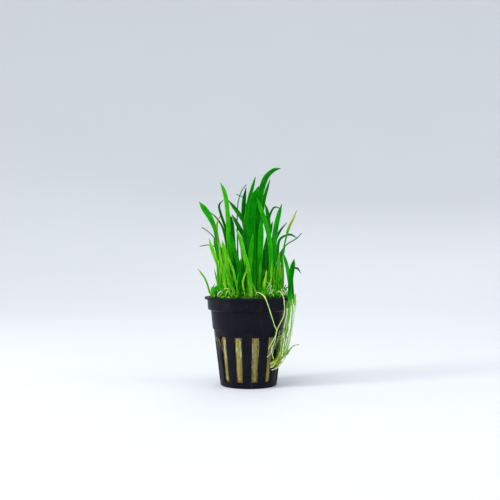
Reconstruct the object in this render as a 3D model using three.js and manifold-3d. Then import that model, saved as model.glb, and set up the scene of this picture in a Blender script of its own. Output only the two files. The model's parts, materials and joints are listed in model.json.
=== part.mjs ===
// A water plant, Lilaeopsis brasiliensis, growing out of a slotted nursery pot.
// Millimetres, +Z up. The origin is the middle of the pot's underside, and the front is towards -Y.
import * as THREE from 'three';
import { mergeVertices } from 'three/addons/utils/BufferGeometryUtils.js';
import Module from 'manifold-3d';

const wasm = await Module();
wasm.setup();

// Driving dimensions of the pot
const POT_HEIGHT = 50;
const RIM_RADIUS = 25;
const RIM_THICKNESS = 1.3;
const WALL = 1;
const COLLAR_TOP_RADIUS = 23.5;
const COLLAR_FOOT_RADIUS = 23.1;
const COLLAR_FOOT_Z = 43.2;
const WALL_TOP_RADIUS = 21.4;
const WALL_TOP_Z = 42.2;
const WALL_FOOT_RADIUS = 20.4;
const WALL_FOOT_Z = 32.3;
const CAGE_TOP_RADIUS = 19.7;
const CAGE_TOP_Z = 31.4;
const BASE_RADIUS = 16;
const BASE_THICKNESS = 1.4;
const BASE_EDGE = 0.8;
const POT_SIDES = 36;

// The slots in the lower wall, and the drain holes in the base
const SLOTS = 12;
const FIRST_SLOT_DEG = -48;
const SLOT_TOP_Z = 28.4;
const SLOT_FOOT_Z = 3.4;
const SLOT_TOP_WIDTH = 4.5;
const SLOT_FOOT_WIDTH = 3.7;
const SLOT_CUT_DEPTH = 10;
const DRAINS = 6;
const DRAIN_INNER_RADIUS = 6.5;
const DRAIN_OUTER_RADIUS = 12.5;
const DRAIN_INNER_WIDTH = 1.5;
const DRAIN_OUTER_WIDTH = 2.9;
const DRAIN_CUT_DEPTH = 6;

// The mineral wool, and the undergrowth of runners and young leaves on it
const GAP = 0.35;
const WOOL_TOP_Z = 46.6;
const MAT_RADIUS = 22;
const MAT_EDGE_Z = 50.2;
const MAT_TOP_Z = 53;
const MAT_SHOULDER_RADIUS = 18.9;
const MAT_CROWN_RADIUS = 12.1;
const MAT_LUMP = 1.6;
const MAT_LUMP_LENGTH = 15.7;
const MAT_SIDES = 24;
const YOUNG_LEAVES = 112;
const YOUNG_LEAF_RADIUS = 20.6;
const YOUNG_LEAF_FOOT_Z = 49;
const YOUNG_LEAF_STEPS = 3;
const YOUNG_LEAF_HEIGHTS = [9, 32];
const YOUNG_LEAF_WIDTHS = [1.6, 2.8];
const YOUNG_LEAF_LEANS = [0.04, 0.22];
const YOUNG_LEAF_TWIST = 30;
const GOLDEN_ANGLE = Math.PI * (3 - Math.sqrt(5));

// A young leaf bends at these shares of its height and of its lean. The strides deal out the heights,
// leans and widths evenly, as a share from 0 to 1 that moves on by one stride from leaf to leaf.
const BEND_HEIGHT = 0.6;
const BEND_LEAN = 0.3;
const HEIGHT_STRIDE = 0.618;
const LEAN_STRIDE = 0.382;
const WIDTH_STRIDE = 0.27;

// Long leaves and roots
const LEAF_FOOT_Z = 48.4;
const LEAF_STEP = 7.5;
const LEAF_MIN_STEPS = 5;
const LEAF_FRAMES = 40;
const LEAF_SIDES = 4;
const LEAF_FOOT_THICKNESS = 1;
const LEAF_TIP_THICKNESS = 0.5;
const LEAN_POWER = 1.4;
const TIP_CROWDING = 1.25;
const ROOT_STEPS = 16;
const ROOT_SIDES = 5;
const ROOT_TAPER = 0.35;
const SOCKET_MARGIN = 0.45;

// How finely a line is looked at for the room that it needs and for where it leaves the undergrowth, in
// shares of its length, and how near two corners are that count as one
const ROOM_STEP = 0.04;
const EXIT_STEP = 0.01;
const MERGE_DISTANCE = 1e-4;

// The outline of a leaf, in shares of its length and of its full width
const STALK_SHARE = 0.4;
const STALK_EXTRA = 0.8;
const STALK_MAX_SHARE = 0.85;
const WIDENS = [0.05, 0.5];
const POINT_START = 0.74;
const POINT_POWER = 2.2;
const POINT_WIDTH = 0.12;

const colours = {
  pot: { color: 0x1b1c22, roughness: 0.38 },
  wool: { color: 0x7d7048, roughness: 0.95 },
  undergrowth: { color: 0x3c7a1a, roughness: 0.8 },
  leaf: { color: 0x1c7f14, roughness: 0.45 },
  youngLeaf: { color: 0x6fa81e, roughness: 0.45 },
  fadedLeaf: { color: 0x9a9440, roughness: 0.6 },
  root: { color: 0xb9cf86, roughness: 0.6 },
};

const materials = Object.fromEntries(
  Object.entries(colours).map(([name, look]) => [
    name,
    new THREE.MeshStandardMaterial({ ...look, metalness: 0 }),
  ]),
);

const plant = new THREE.Group();

function addPiece(name, geometry, material) {
  const mesh = new THREE.Mesh(geometry, material);
  mesh.name = name;
  plant.add(mesh);
}

// A closed three.js geometry as a solid that can be joined and cut
function toSolid(geometry) {
  const bare = geometry.clone();
  bare.deleteAttribute('normal');
  bare.deleteAttribute('uv');
  const merged = mergeVertices(bare, MERGE_DISTANCE);
  return new wasm.Manifold(
    new wasm.Mesh({
      numProp: 3,
      vertProperties: new Float32Array(merged.attributes.position.array),
      triVerts: new Uint32Array(merged.index.array),
    }),
  );
}

// The largest body of a solid, as a three.js geometry
function toGeometry(solid) {
  const largest = solid.decompose().reduce((a, b) => (a.volume() > b.volume() ? a : b));
  const mesh = largest.getMesh();
  const positions = new Float32Array(mesh.numVert * 3);
  for (let i = 0; i < mesh.numVert; i++) {
    const start = i * mesh.numProp;
    positions.set(mesh.vertProperties.subarray(start, start + 3), i * 3);
  }
  return new THREE.BufferGeometry()
    .setAttribute('position', new THREE.BufferAttribute(positions, 3))
    .setIndex(new THREE.BufferAttribute(new Uint32Array(mesh.triVerts), 1));
}

// A profile of [radius, height] pairs turned about the Z axis
function turned(profile, sides) {
  const points = profile.map(([radius, z]) => new THREE.Vector2(radius, z));
  return new THREE.LatheGeometry(points, sides).rotateX(Math.PI / 2);
}

// Pot
const outerWall = [
  [BASE_RADIUS - BASE_EDGE, 0],
  [BASE_RADIUS, BASE_EDGE],
  [CAGE_TOP_RADIUS, CAGE_TOP_Z],
  [WALL_FOOT_RADIUS, WALL_FOOT_Z],
  [WALL_TOP_RADIUS, WALL_TOP_Z],
  [COLLAR_FOOT_RADIUS, COLLAR_FOOT_Z],
  [COLLAR_TOP_RADIUS, POT_HEIGHT - RIM_THICKNESS],
  [RIM_RADIUS, POT_HEIGHT - RIM_THICKNESS],
  [RIM_RADIUS, POT_HEIGHT],
];
const innerWall = [
  [BASE_RADIUS - WALL, BASE_THICKNESS],
  [CAGE_TOP_RADIUS - WALL, CAGE_TOP_Z],
  [WALL_FOOT_RADIUS - WALL, WALL_FOOT_Z],
  [WALL_TOP_RADIUS - WALL, WALL_TOP_Z + WALL / 2],
  [COLLAR_FOOT_RADIUS - WALL, COLLAR_FOOT_Z + WALL / 2],
  [COLLAR_TOP_RADIUS - WALL, POT_HEIGHT],
];

function slotCutter(angle) {
  const shape = new THREE.Shape([
    new THREE.Vector2(-SLOT_FOOT_WIDTH / 2, SLOT_FOOT_Z),
    new THREE.Vector2(SLOT_FOOT_WIDTH / 2, SLOT_FOOT_Z),
    new THREE.Vector2(SLOT_TOP_WIDTH / 2, SLOT_TOP_Z),
    new THREE.Vector2(-SLOT_TOP_WIDTH / 2, SLOT_TOP_Z),
  ]);
  return new THREE.ExtrudeGeometry(shape, { depth: SLOT_CUT_DEPTH, bevelEnabled: false })
    .translate(0, 0, BASE_RADIUS - SLOT_CUT_DEPTH / 2)
    .rotateX(Math.PI / 2)
    .rotateZ(angle);
}

function drainCutter(angle) {
  const shape = new THREE.Shape([
    new THREE.Vector2(-DRAIN_INNER_WIDTH / 2, -DRAIN_INNER_RADIUS),
    new THREE.Vector2(-DRAIN_OUTER_WIDTH / 2, -DRAIN_OUTER_RADIUS),
    new THREE.Vector2(DRAIN_OUTER_WIDTH / 2, -DRAIN_OUTER_RADIUS),
    new THREE.Vector2(DRAIN_INNER_WIDTH / 2, -DRAIN_INNER_RADIUS),
  ]);
  return new THREE.ExtrudeGeometry(shape, { depth: DRAIN_CUT_DEPTH, bevelEnabled: false })
    .translate(0, 0, -DRAIN_CUT_DEPTH / 2)
    .rotateZ(angle);
}

const turnFromFront = (i, count) => THREE.MathUtils.degToRad(FIRST_SLOT_DEG + (i * 360) / count);

function makePot() {
  const inside = innerWall.slice().reverse();
  const profile = [[0, 0], ...outerWall, ...inside, [0, BASE_THICKNESS]];
  let pot = toSolid(turned(profile, POT_SIDES));
  for (let i = 0; i < SLOTS; i++) {
    pot = pot.subtract(toSolid(slotCutter(turnFromFront(i, SLOTS))));
  }
  for (let i = 0; i < DRAINS; i++) {
    pot = pot.subtract(toSolid(drainCutter(turnFromFront(i, DRAINS))));
  }
  return toGeometry(pot);
}

// Wool, which fills the pot with a small gap all round
function makeWool() {
  const [[footRadius, footZ], ...side] = innerWall.slice(0, -1);
  const profile = [
    [0, footZ + GAP],
    [footRadius - GAP, footZ + GAP],
    ...side.map(([radius, z]) => [radius - GAP, z]),
    [side.at(-1)[0] - GAP, WOOL_TOP_Z],
    [0, WOOL_TOP_Z],
  ];
  return turned(profile, POT_SIDES);
}

// A closed cylinder bent onto a line. sectionAt(t) gives the middle of the cross-section at the share t of
// the line's length, its half width and half thickness, and the directions they are measured in.
function sweep(sides, steps, sectionAt) {
  const geometry = new THREE.CylinderGeometry(1, 1, 1, sides, steps);
  const place = geometry.attributes.position;
  const point = new THREE.Vector3();
  for (let i = 0; i < place.count; i++) {
    const section = sectionAt(place.getY(i) + 0.5);
    point
      .copy(section.middle)
      .addScaledVector(section.across, place.getX(i) * section.halfWidth)
      .addScaledVector(section.out, place.getZ(i) * section.halfThickness);
    place.setXYZ(i, point.x, point.y, point.z);
  }
  return geometry;
}

const smoothLine = (points) => new THREE.CatmullRomCurve3(points, false, 'centripetal');

// A leaf's middle line. It is drawn as seen from the front, and its depth grows from foot to tip.
function leafLine({ foot, tipDepth, places }) {
  const [footX, footY, footZ = LEAF_FOOT_Z] = foot;
  const seen = [[footX, footZ], ...places].map(([x, z]) => new THREE.Vector2(x, z));
  const lengths = [0];
  for (let i = 1; i < seen.length; i++) {
    lengths.push(lengths[i - 1] + seen[i].distanceTo(seen[i - 1]));
  }
  const points = seen.map(({ x, y: z }, i) => {
    const share = (lengths[i] / lengths.at(-1)) ** LEAN_POWER;
    return new THREE.Vector3(x, THREE.MathUtils.lerp(footY, tipDepth, share), z);
  });
  return smoothLine(points);
}

// The width of the stalk of a leaf, which is nearly as wide as the blade where the leaf is narrow
const usualStalk = (width) => width * Math.min(STALK_MAX_SHARE, STALK_SHARE + STALK_EXTRA / width);

// The width of a leaf at the share t of its length: a stalk, then a blade that widens, then a point. The
// later the point starts, the blunter it is.
function widthAt(t, leaf) {
  const { width, stalk = usualStalk(width), widens = WIDENS, pointStart = POINT_START } = leaf;
  const blade = THREE.MathUtils.lerp(stalk, width, THREE.MathUtils.smoothstep(t, ...widens));
  const past = Math.max(0, (t - pointStart) / (1 - pointStart));
  return Math.max(width * POINT_WIDTH, blade * Math.sqrt(Math.max(0, 1 - past ** POINT_POWER)));
}

// The way across a blade, at every frame of its line. At the foot it follows from the way the blade faces,
// in degrees from the front, and the twist turns it evenly up to the tip.
function waysAcross({ faces, twist }, line) {
  const { tangents, normals, binormals } = line.computeFrenetFrames(LEAF_FRAMES, false);
  const facing = THREE.MathUtils.degToRad(faces);
  const front = new THREE.Vector3(Math.sin(facing), -Math.cos(facing), 0);
  const atFoot = new THREE.Vector3().crossVectors(tangents[0], front);
  const start = Math.atan2(atFoot.dot(binormals[0]), atFoot.dot(normals[0]));
  return normals.map((normal, i) => {
    const angle = start + (THREE.MathUtils.degToRad(twist) * i) / LEAF_FRAMES;
    return normal
      .clone()
      .multiplyScalar(Math.cos(angle))
      .addScaledVector(binormals[i], Math.sin(angle));
  });
}

function leafSection(leaf, line, ways, t, margin) {
  const along = line.getTangentAt(t);
  const across = ways[Math.round(t * LEAF_FRAMES)].clone().projectOnPlane(along).normalize();
  const thickness = THREE.MathUtils.lerp(LEAF_FOOT_THICKNESS, LEAF_TIP_THICKNESS, t);
  return {
    middle: line.getPointAt(t),
    across,
    out: new THREE.Vector3().crossVectors(across, along),
    halfWidth: widthAt(t, leaf) / 2 + margin,
    halfThickness: thickness / 2 + margin,
  };
}

// Stations lie closer together towards the tip of a leaf, where it narrows
const towardsTip = (t) => 1 - (1 - t) ** TIP_CROWDING;

function makeLeaf(leaf) {
  const line = leafLine(leaf);
  const steps = Math.max(LEAF_MIN_STEPS, Math.round(line.getLength() / LEAF_STEP));
  const ways = waysAcross(leaf, line);
  const sectionAt = (t, margin) => leafSection(leaf, line, ways, t, margin);
  return {
    line,
    sides: LEAF_SIDES,
    socketSteps: 2,
    sectionAt,
    geometry: sweep(LEAF_SIDES, steps, (t) => sectionAt(towardsTip(t), 0)),
  };
}

function strandSection({ radius }, line, frames, t, margin) {
  const i = Math.round(t * ROOT_STEPS);
  const half = radius * (1 - ROOT_TAPER * t ** 2) + margin;
  return {
    middle: line.getPointAt(t),
    across: frames.normals[i],
    out: frames.binormals[i].clone().negate(),
    halfWidth: half,
    halfThickness: half,
  };
}

function makeStrand(strand) {
  const line = smoothLine(strand.places.map((place) => new THREE.Vector3(...place)));
  const frames = line.computeFrenetFrames(ROOT_STEPS, false);
  const sectionAt = (t, margin) => strandSection(strand, line, frames, t, margin);
  return {
    line,
    sides: ROOT_SIDES,
    socketSteps: 4,
    sectionAt,
    geometry: sweep(ROOT_SIDES, ROOT_STEPS, (t) => sectionAt(t, 0)),
  };
}

// Long leaves. foot is [x, y] in the undergrowth, tipDepth is the tip's y, faces is the way the blade faces
// at its foot, in degrees from the front, and places are [x, z] from above the foot to the tip. Where a leaf
// has a shape of its own, stalk is its stalk width, and widens and pointStart are shares of its length.
const leaves = {
  front: [
    { foot: [1.4, -18.4], tipDepth: -19, width: 2.6, faces: -10, twist: -20,
      places: [[0.4, 62.9], [-2.6, 74.9], [-4, 81], [-6.8, 87.6]] },
    { foot: [-8.6, -14.8], tipDepth: -19, width: 2.2, faces: -30, twist: 40, tone: 'youngLeaf',
      places: [[-10.6, 60], [-12.4, 78]] },
    { foot: [9.2, -16.6], tipDepth: -18.6, width: 1.2, faces: 40, twist: -20, tone: 'youngLeaf',
      places: [[9.1, 57], [9.9, 65.4]] },
    { foot: [-9.6, -10.8], tipDepth: -16, width: 3, faces: -10, twist: -25, pointStart: 0.92,
      tone: 'youngLeaf', places: [[-12.4, 70.7], [-14.3, 81.6]] },
    { foot: [6, -12.6], tipDepth: -14.6, width: 3.2, faces: -20, twist: 30,
      places: [[5.8, 66], [6.6, 80], [7, 93]] },
    { foot: [-2.8, -13.6], tipDepth: -15.4, width: 2.4, faces: 10, twist: -30,
      places: [[-4.2, 62], [-7.3, 75], [-10.6, 87]] },
    { foot: [-0.2, -17.1], tipDepth: -16.8, width: 2.4, faces: -10, twist: 15,
      places: [[0.4, 66], [1.4, 76], [2.4, 85]] },
    { foot: [-6.2, -11.6], tipDepth: -14, width: 2.2, faces: 40, twist: -30,
      places: [[-7.8, 60], [-9.2, 71]] },
  ],
  left: [
    { foot: [-14, -9.8], tipDepth: -14, width: 2.6, faces: -20, twist: -20, pointStart: 0.84,
      tone: 'youngLeaf', places: [[-16.4, 67.5], [-19.2, 74], [-21.6, 82.6]] },
    { foot: [-14.6, -6.2], tipDepth: -10, width: 3.2, faces: -12, twist: 20, stalk: 1,
      widens: [0.52, 0.84], pointStart: 0.9,
      places: [[-16.8, 68], [-17.9, 80], [-19.2, 89.7], [-22.8, 96.7], [-27.4, 103]] },
    { foot: [-6.6, -7.6], tipDepth: -11, width: 2.6, faces: 10, twist: -25, pointStart: 0.84,
      places: [[-10.8, 80], [-11.5, 94], [-12.4, 104.4], [-13.8, 109.8], [-15.6, 113.6]] },
    { foot: [-11.6, -3.6], tipDepth: -6, width: 2.2, faces: 50, twist: 10, tone: 'fadedLeaf',
      places: [[-15.8, 77], [-18, 89], [-15.8, 95.6]] },
    { foot: [-16.6, -1.6], tipDepth: -3, width: 2.1, faces: 85, twist: 5,
      places: [[-14.8, 68], [-15.6, 76], [-20, 78.9], [-27.4, 78.4]] },
    { foot: [-8.4, -0.8], tipDepth: -2.5, width: 2, faces: 55, twist: -15,
      places: [[-12.6, 87], [-15.4, 96], [-16.7, 100.6], [-16, 103.6], [-14.2, 104.6]] },
    { foot: [-13.2, 2.8], tipDepth: 3.5, width: 2, faces: 75, twist: 10,
      places: [[-16.6, 74], [-19.9, 84], [-26.8, 89.4]] },
    { foot: [-9.4, 6.4], tipDepth: 8.5, width: 2.2, faces: 45, twist: 15,
      places: [[-13.1, 82], [-15.2, 89.9], [-18.6, 95], [-22.4, 98.2]] },
    { foot: [-18.6, -4.8], tipDepth: -6, width: 1.3, faces: 40, twist: 20, tone: 'fadedLeaf',
      places: [[-21.4, 51.6], [-24, 59.4], [-28.2, 65.6]] },
    { foot: [-13.4, -13.2], tipDepth: -15.8, width: 2.2, faces: 0, twist: 20,
      places: [[-14.2, 55], [-15.8, 57.2], [-18.2, 55], [-20.8, 51.4]] },
    { foot: [-7.2, -4.2], tipDepth: -4.6, width: 3.4, faces: 5, twist: -20,
      places: [[-8.4, 72], [-9.2, 84], [-9.5, 95.2]] },
  ],
  centre: [
    { foot: [2.9, -15.8], tipDepth: -11, width: 4.4, faces: 0, twist: -8, stalk: 3.4, pointStart: 0.8,
      places: [[2, 68], [1.6, 84], [1.9, 100], [5.6, 111.6]] },
    { foot: [-2.6, -5], tipDepth: -7, width: 2.6, faces: 40, twist: -20,
      places: [[-2.2, 84], [0, 103], [3.8, 117.2]] },
    { foot: [3.2, -5], tipDepth: -7.5, width: 3.9, faces: -15, twist: 55, pointStart: 0.82,
      places: [[5.2, 97], [7.2, 109.6], [9.4, 116.2], [12.6, 120.2], [17.6, 121.9]] },
    { foot: [5, -1.6], tipDepth: -3, width: 2.7, faces: 20, twist: -30,
      places: [[1.6, 84], [-5, 96.2], [-11.4, 104.4]] },
    { foot: [-1.4, -1.4], tipDepth: -2, width: 2.6, faces: -20, twist: 35,
      places: [[-1.4, 84], [-2.9, 96], [-2.4, 106], [-1.4, 111.6]] },
    { foot: [-5.2, 2.6], tipDepth: 1, width: 2.1, faces: 80, twist: 5,
      places: [[-6.4, 88], [-6.2, 101], [-4.6, 108.6], [-1.4, 113.4]] },
    { foot: [1, 2.2], tipDepth: 1.5, width: 3.4, faces: -20, twist: 30,
      places: [[0.6, 80], [1, 96], [2.6, 109]] },
    { foot: [4.6, 6], tipDepth: 6, width: 2.7, faces: 15, twist: -30,
      places: [[0.4, 78], [-4.8, 88.2], [-9.6, 96.8]] },
    { foot: [-4.4, 7.6], tipDepth: 8.6, width: 2.1, faces: 55, twist: 20,
      places: [[-1.6, 91], [-1.7, 103.4], [-3.6, 107], [-7, 108.4]] },
    { foot: [7, 1.8], tipDepth: 2.5, width: 2.4, faces: 45, twist: -15,
      places: [[7.6, 97], [9.4, 107.6], [12.2, 116.4]] },
  ],
  right: [
    { foot: [13.6, -11.2], tipDepth: -14.5, width: 2.9, faces: -10, twist: 20,
      places: [[14, 72], [14.6, 86], [16.6, 95.6], [18.2, 101.5]] },
    { foot: [15, -9.2], tipDepth: -12.5, width: 2.2, faces: 45, twist: -15, tone: 'youngLeaf',
      places: [[16.3, 62], [16.9, 75]] },
    { foot: [12, -7.4], tipDepth: -11, width: 2.2, faces: 30, twist: 20,
      places: [[14.8, 81], [17.6, 87.2], [21.1, 91.4]] },
    { foot: [8.6, -4.6], tipDepth: -7, width: 2.2, faces: 50, twist: 5,
      places: [[10.9, 88], [12.2, 97], [14.8, 100.5], [18.2, 99.4]] },
    { foot: [17, -5.2], tipDepth: -8.5, width: 2.3, faces: 40, twist: 10, stalk: 0.9,
      widens: [0.55, 0.82], tone: 'fadedLeaf',
      places: [[19, 74], [20.6, 81.6], [22.5, 88.6], [24.4, 92.6], [26.8, 98.3]] },
    { foot: [11.6, -14.2], tipDepth: -14, width: 2.6, faces: -10, twist: 15,
      places: [[12.4, 72], [11.6, 82], [8.4, 94.4], [4.6, 105.2]] },
    { foot: [17.8, -0.8], tipDepth: -1.5, width: 2.3, faces: 45, twist: 5,
      places: [[16.4, 73], [17.4, 82], [21.6, 85.4], [27.5, 83]] },
    { foot: [14.4, 2.8], tipDepth: 4, width: 1.9, faces: 75, twist: 5,
      places: [[18, 74.6], [23.2, 80.6], [27.2, 82.8], [30.3, 85.8]] },
    { foot: [10.4, 5.4], tipDepth: 7, width: 2.6, faces: -35, twist: 40,
      places: [[11.6, 86], [10.9, 97.5], [9.2, 103.5]] },
    { foot: [18.2, 4.2], tipDepth: 7, width: 2, faces: 80, twist: -10,
      places: [[18.6, 58], [19.4, 70.5]] },
  ],
  back: [
    { foot: [-14.4, 9.4], tipDepth: 16, width: 2.6, faces: 215, twist: -30,
      places: [[-16.4, 68], [-20.4, 84]] },
    { foot: [-7.4, 10.8], tipDepth: 15.5, width: 3, faces: 165, twist: 30,
      places: [[-10.2, 78], [-11, 97]] },
    { foot: [0.4, 10.4], tipDepth: 14, width: 3.4, faces: 190, twist: -25,
      places: [[1.8, 84], [3.6, 104]] },
    { foot: [7.8, 10], tipDepth: 15, width: 2.8, faces: 170, twist: 30,
      places: [[9.8, 76], [14, 93]] },
    { foot: [14, 9.6], tipDepth: 15.5, width: 2.4, faces: 140, twist: 30,
      places: [[16.6, 66], [21.4, 79]] },
    { foot: [-10.4, 14.4], tipDepth: 23, width: 2.4, faces: 205, twist: -30, tone: 'youngLeaf',
      places: [[-12, 62], [-15, 75]] },
    { foot: [-3, 15.2], tipDepth: 23.5, width: 3, faces: 165, twist: 20,
      places: [[-2.6, 66], [-4.2, 84]] },
    { foot: [4.6, 14.8], tipDepth: 22, width: 2.6, faces: 200, twist: -25,
      places: [[5.6, 68], [8, 86.5]] },
    { foot: [10.8, 14.2], tipDepth: 22.5, width: 2.2, faces: 150, twist: 30, tone: 'youngLeaf',
      places: [[13, 58], [17, 68.5]] },
  ],
};

// The leaves of the shoot that has grown over the rim. Their feet stand around the runner.
const shootLeaves = [
  { foot: [22.7, -14.9, 46.4], tipDepth: -16.8, width: 3, faces: 0, twist: 15, widens: [0.3, 0.65],
    places: [[22.5, 52], [23.4, 63], [25, 71.4]] },
  { foot: [23.5, -11.3, 46], tipDepth: -12, width: 2.2, faces: -10, twist: 30,
    places: [[22.9, 56], [21.9, 64.2], [19.2, 74.7]] },
  { foot: [25.3, -13, 46], tipDepth: -13.2, width: 1.2, faces: 0, twist: 20, tone: 'youngLeaf',
    places: [[25.4, 49], [25.8, 52.4]] },
  { foot: [25.2, -9.6, 46.6], tipDepth: -9.6, width: 1.3, faces: 30, twist: -30, tone: 'fadedLeaf',
    places: [[24.2, 60], [24.9, 67.6], [26.6, 66.6], [29.2, 63.2]] },
];

// The runner and the roots, with the places that they pass through from the wool outwards
const strands = {
  runner: {
    radius: 0.85,
    places: [
      [15.8, -12.4, 48.8], [17.6, -13, 51.7], [20.2, -13.5, 52.5], [22.4, -13.4, 50.7],
      [22.9, -13.1, 47], [22.5, -12.9, 43], [21.9, -12.6, 38], [20.8, -12.2, 32], [19.9, -12, 27],
      [18.6, -12, 22], [16.8, -12.8, 17.6], [14.6, -14.2, 15], [12.2, -15.6, 14],
    ],
  },
  root_front: {
    radius: 0.5,
    places: [
      [4.2, -17.8, 48.8], [3.9, -18.7, 51.8], [4.8, -20.3, 53.4], [7, -22.7, 52.6],
      [8.8, -24.9, 50.9], [9.9, -25.1, 48.2], [11.2, -22.9, 44.6],
      [12.8, -20.6, 39.6], [14.2, -19, 35], [15.4, -17.9, 31.6], [14, -17.8, 28.2], [12.3, -17.8, 25],
      [10.8, -17.6, 22.4],
    ],
  },
  root_crossing: {
    radius: 0.5,
    places: [
      [15.2, -13.8, 48.8], [15.1, -14.6, 52.2], [16.2, -15.8, 54], [17.8, -17.1, 52.9],
      [19, -18.2, 50.7], [19.5, -17.9, 48], [19.7, -16.2, 44.5], [19.4, -15.2, 40.8],
      [18.3, -15, 37.8], [16.7, -15.6, 35], [15.4, -15.9, 32.2], [14.9, -15.3, 29],
      [13.9, -15.5, 25], [12.8, -15.6, 21], [13.6, -14.8, 16.6],
    ],
  },
  root_outer: {
    radius: 0.6,
    places: [
      [18.2, -6.6, 48.8], [21.4, -7.4, 51.8], [24.8, -8, 51.6], [26.4, -8.2, 48.4], [25.9, -8.4, 43],
      [25, -8.6, 37], [23.8, -8.8, 30], [22.2, -9, 22.4], [20, -9.4, 16], [16.6, -11, 11.6],
      [12.8, -13.2, 10.2],
    ],
  },
};
const sideRoot = {
  radius: 0.5,
  places: [[21.6, -10.8, 18.6], [22.9, -10.6, 21], [25, -10, 23.2], [28, -9.4, 23.8]],
};

// The first share of a line's length at which it has left the undergrowth
function shareOutside(line) {
  const top = MAT_TOP_Z + MAT_LUMP + 1;
  for (let t = 0; t <= 1; t += EXIT_STEP) {
    const { x, y, z } = line.getPointAt(t);
    if (z > top || Math.hypot(x, y) > MAT_RADIUS + 1) return t;
  }
  return 1;
}

// The hole in the undergrowth that something rises through: its own shape there, a little larger
function socket(rising) {
  const end = shareOutside(rising.line);
  return sweep(rising.sides, rising.socketSteps, (t) => {
    const section = rising.sectionAt(t * end, SOCKET_MARGIN);
    if (t === 0) section.middle.addScaledVector(rising.line.getTangentAt(0), -GAP);
    return section;
  });
}

// A low mound of matted runners
function makeMound() {
  const profile = [
    [0, WOOL_TOP_Z + GAP],
    [MAT_RADIUS, WOOL_TOP_Z + GAP],
    [MAT_RADIUS, MAT_EDGE_Z],
    [MAT_SHOULDER_RADIUS, (MAT_EDGE_Z + MAT_TOP_Z) / 2],
    [MAT_CROWN_RADIUS, MAT_TOP_Z],
    [0, MAT_TOP_Z],
  ];
  const mound = turned(profile, MAT_SIDES);
  const place = mound.attributes.position;
  const turnsAt = (length) => (length * 2 * Math.PI) / MAT_LUMP_LENGTH;
  for (let i = 0; i < place.count; i++) {
    const height = (place.getZ(i) - MAT_EDGE_Z) / (MAT_TOP_Z - MAT_EDGE_Z);
    if (height <= 0) continue;
    const lump = Math.cos(turnsAt(place.getX(i))) * Math.cos(turnsAt(place.getY(i)));
    place.setZ(i, place.getZ(i) + lump * height * MAT_LUMP);
  }
  return toSolid(mound);
}

// A young leaf, one of those that spiral out from the middle of the mound. It leans outwards.
function youngLeaf(i) {
  const { lerp } = THREE.MathUtils;
  const spread = Math.sqrt((i + 0.5) / YOUNG_LEAVES);
  const angle = i * GOLDEN_ANGLE;
  const out = new THREE.Vector3(Math.cos(angle), Math.sin(angle), 0);
  const share = (i * HEIGHT_STRIDE) % 1;
  const height = lerp(...YOUNG_LEAF_HEIGHTS, share);
  const lean = height * lerp(...YOUNG_LEAF_LEANS, (i * LEAN_STRIDE) % 1) * spread;
  const foot = out.clone().multiplyScalar(YOUNG_LEAF_RADIUS * spread).setZ(YOUNG_LEAF_FOOT_Z);
  const middle = foot.clone().addScaledVector(out, lean * BEND_LEAN);
  const tip = foot.clone().addScaledVector(out, lean);
  middle.z += height * BEND_HEIGHT;
  tip.z += height;
  const line = smoothLine([foot, middle, tip]);
  const ways = waysAcross({ faces: THREE.MathUtils.radToDeg(angle) + 90, twist: YOUNG_LEAF_TWIST }, line);
  const width = lerp(...YOUNG_LEAF_WIDTHS, (i * WIDTH_STRIDE) % 1);
  return { line, sectionAt: (t, margin) => leafSection({ width }, line, ways, t, margin) };
}

// Where something runs, as points with the room that it needs around each
function roomAround({ line, sectionAt }) {
  const room = [];
  for (let t = 0; t <= 1; t += ROOM_STEP) {
    room.push({ point: line.getPointAt(t), half: sectionAt(t, 0).halfWidth });
  }
  return room;
}

function isClear(leaf, taken) {
  return roomAround(leaf).every((mine) =>
    taken.every(
      (other) => mine.point.distanceTo(other.point) > mine.half + other.half + GAP,
    ),
  );
}

function makeUndergrowth(risingThings, hangingThings) {
  let mat = makeMound();
  const taken = [...risingThings, ...hangingThings].flatMap(roomAround);
  for (let i = 0; i < YOUNG_LEAVES; i++) {
    const leaf = youngLeaf(i);
    if (!isClear(leaf, taken)) continue;
    const blade = sweep(LEAF_SIDES, YOUNG_LEAF_STEPS, (t) => leaf.sectionAt(towardsTip(t), 0));
    mat = mat.add(toSolid(blade));
    taken.push(...roomAround(leaf));
  }
  for (const rising of risingThings) {
    mat = mat.subtract(toSolid(socket(rising)));
  }
  return toGeometry(mat);
}

addPiece('pot', makePot(), materials.pot);
addPiece('wool', makeWool(), materials.wool);

const rising = [];
for (const [place, group] of Object.entries(leaves)) {
  group.forEach((leaf, i) => {
    const made = makeLeaf(leaf);
    rising.push(made);
    addPiece(`leaf_${place}_${i + 1}`, made.geometry, materials[leaf.tone ?? 'leaf']);
  });
}
for (const [name, strand] of Object.entries(strands)) {
  const made = makeStrand(strand);
  rising.push(made);
  addPiece(name, made.geometry, materials.root);
}

const hanging = shootLeaves.map((leaf, i) => {
  const made = makeLeaf(leaf);
  addPiece(`leaf_shoot_${i + 1}`, made.geometry, materials[leaf.tone ?? 'leaf']);
  return made;
});
addPiece('root_side', makeStrand(sideRoot).geometry, materials.root);
addPiece('undergrowth', makeUndergrowth(rising, hanging), materials.undergrowth);

export default plant;
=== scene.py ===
# %% [markdown]
# # A water plant in its pot
# Lilaeopsis brasiliensis is a grass-like plant that carpets the floor of an aquarium. It is raised in a
# small black pot with slots in its sides, and rooted in mineral wool. This lesson dresses such a plant.
# The solids of the pot, the leaves and the roots are loaded first, as a frame in metres that never
# moves. Every piece that we model is laid over one of them, so nothing has to be fitted afterwards.

# %% Load the frame
import json
import math
import random

import bmesh
import bpy
import numpy as np
from mathutils import Matrix, Vector, noise


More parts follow.
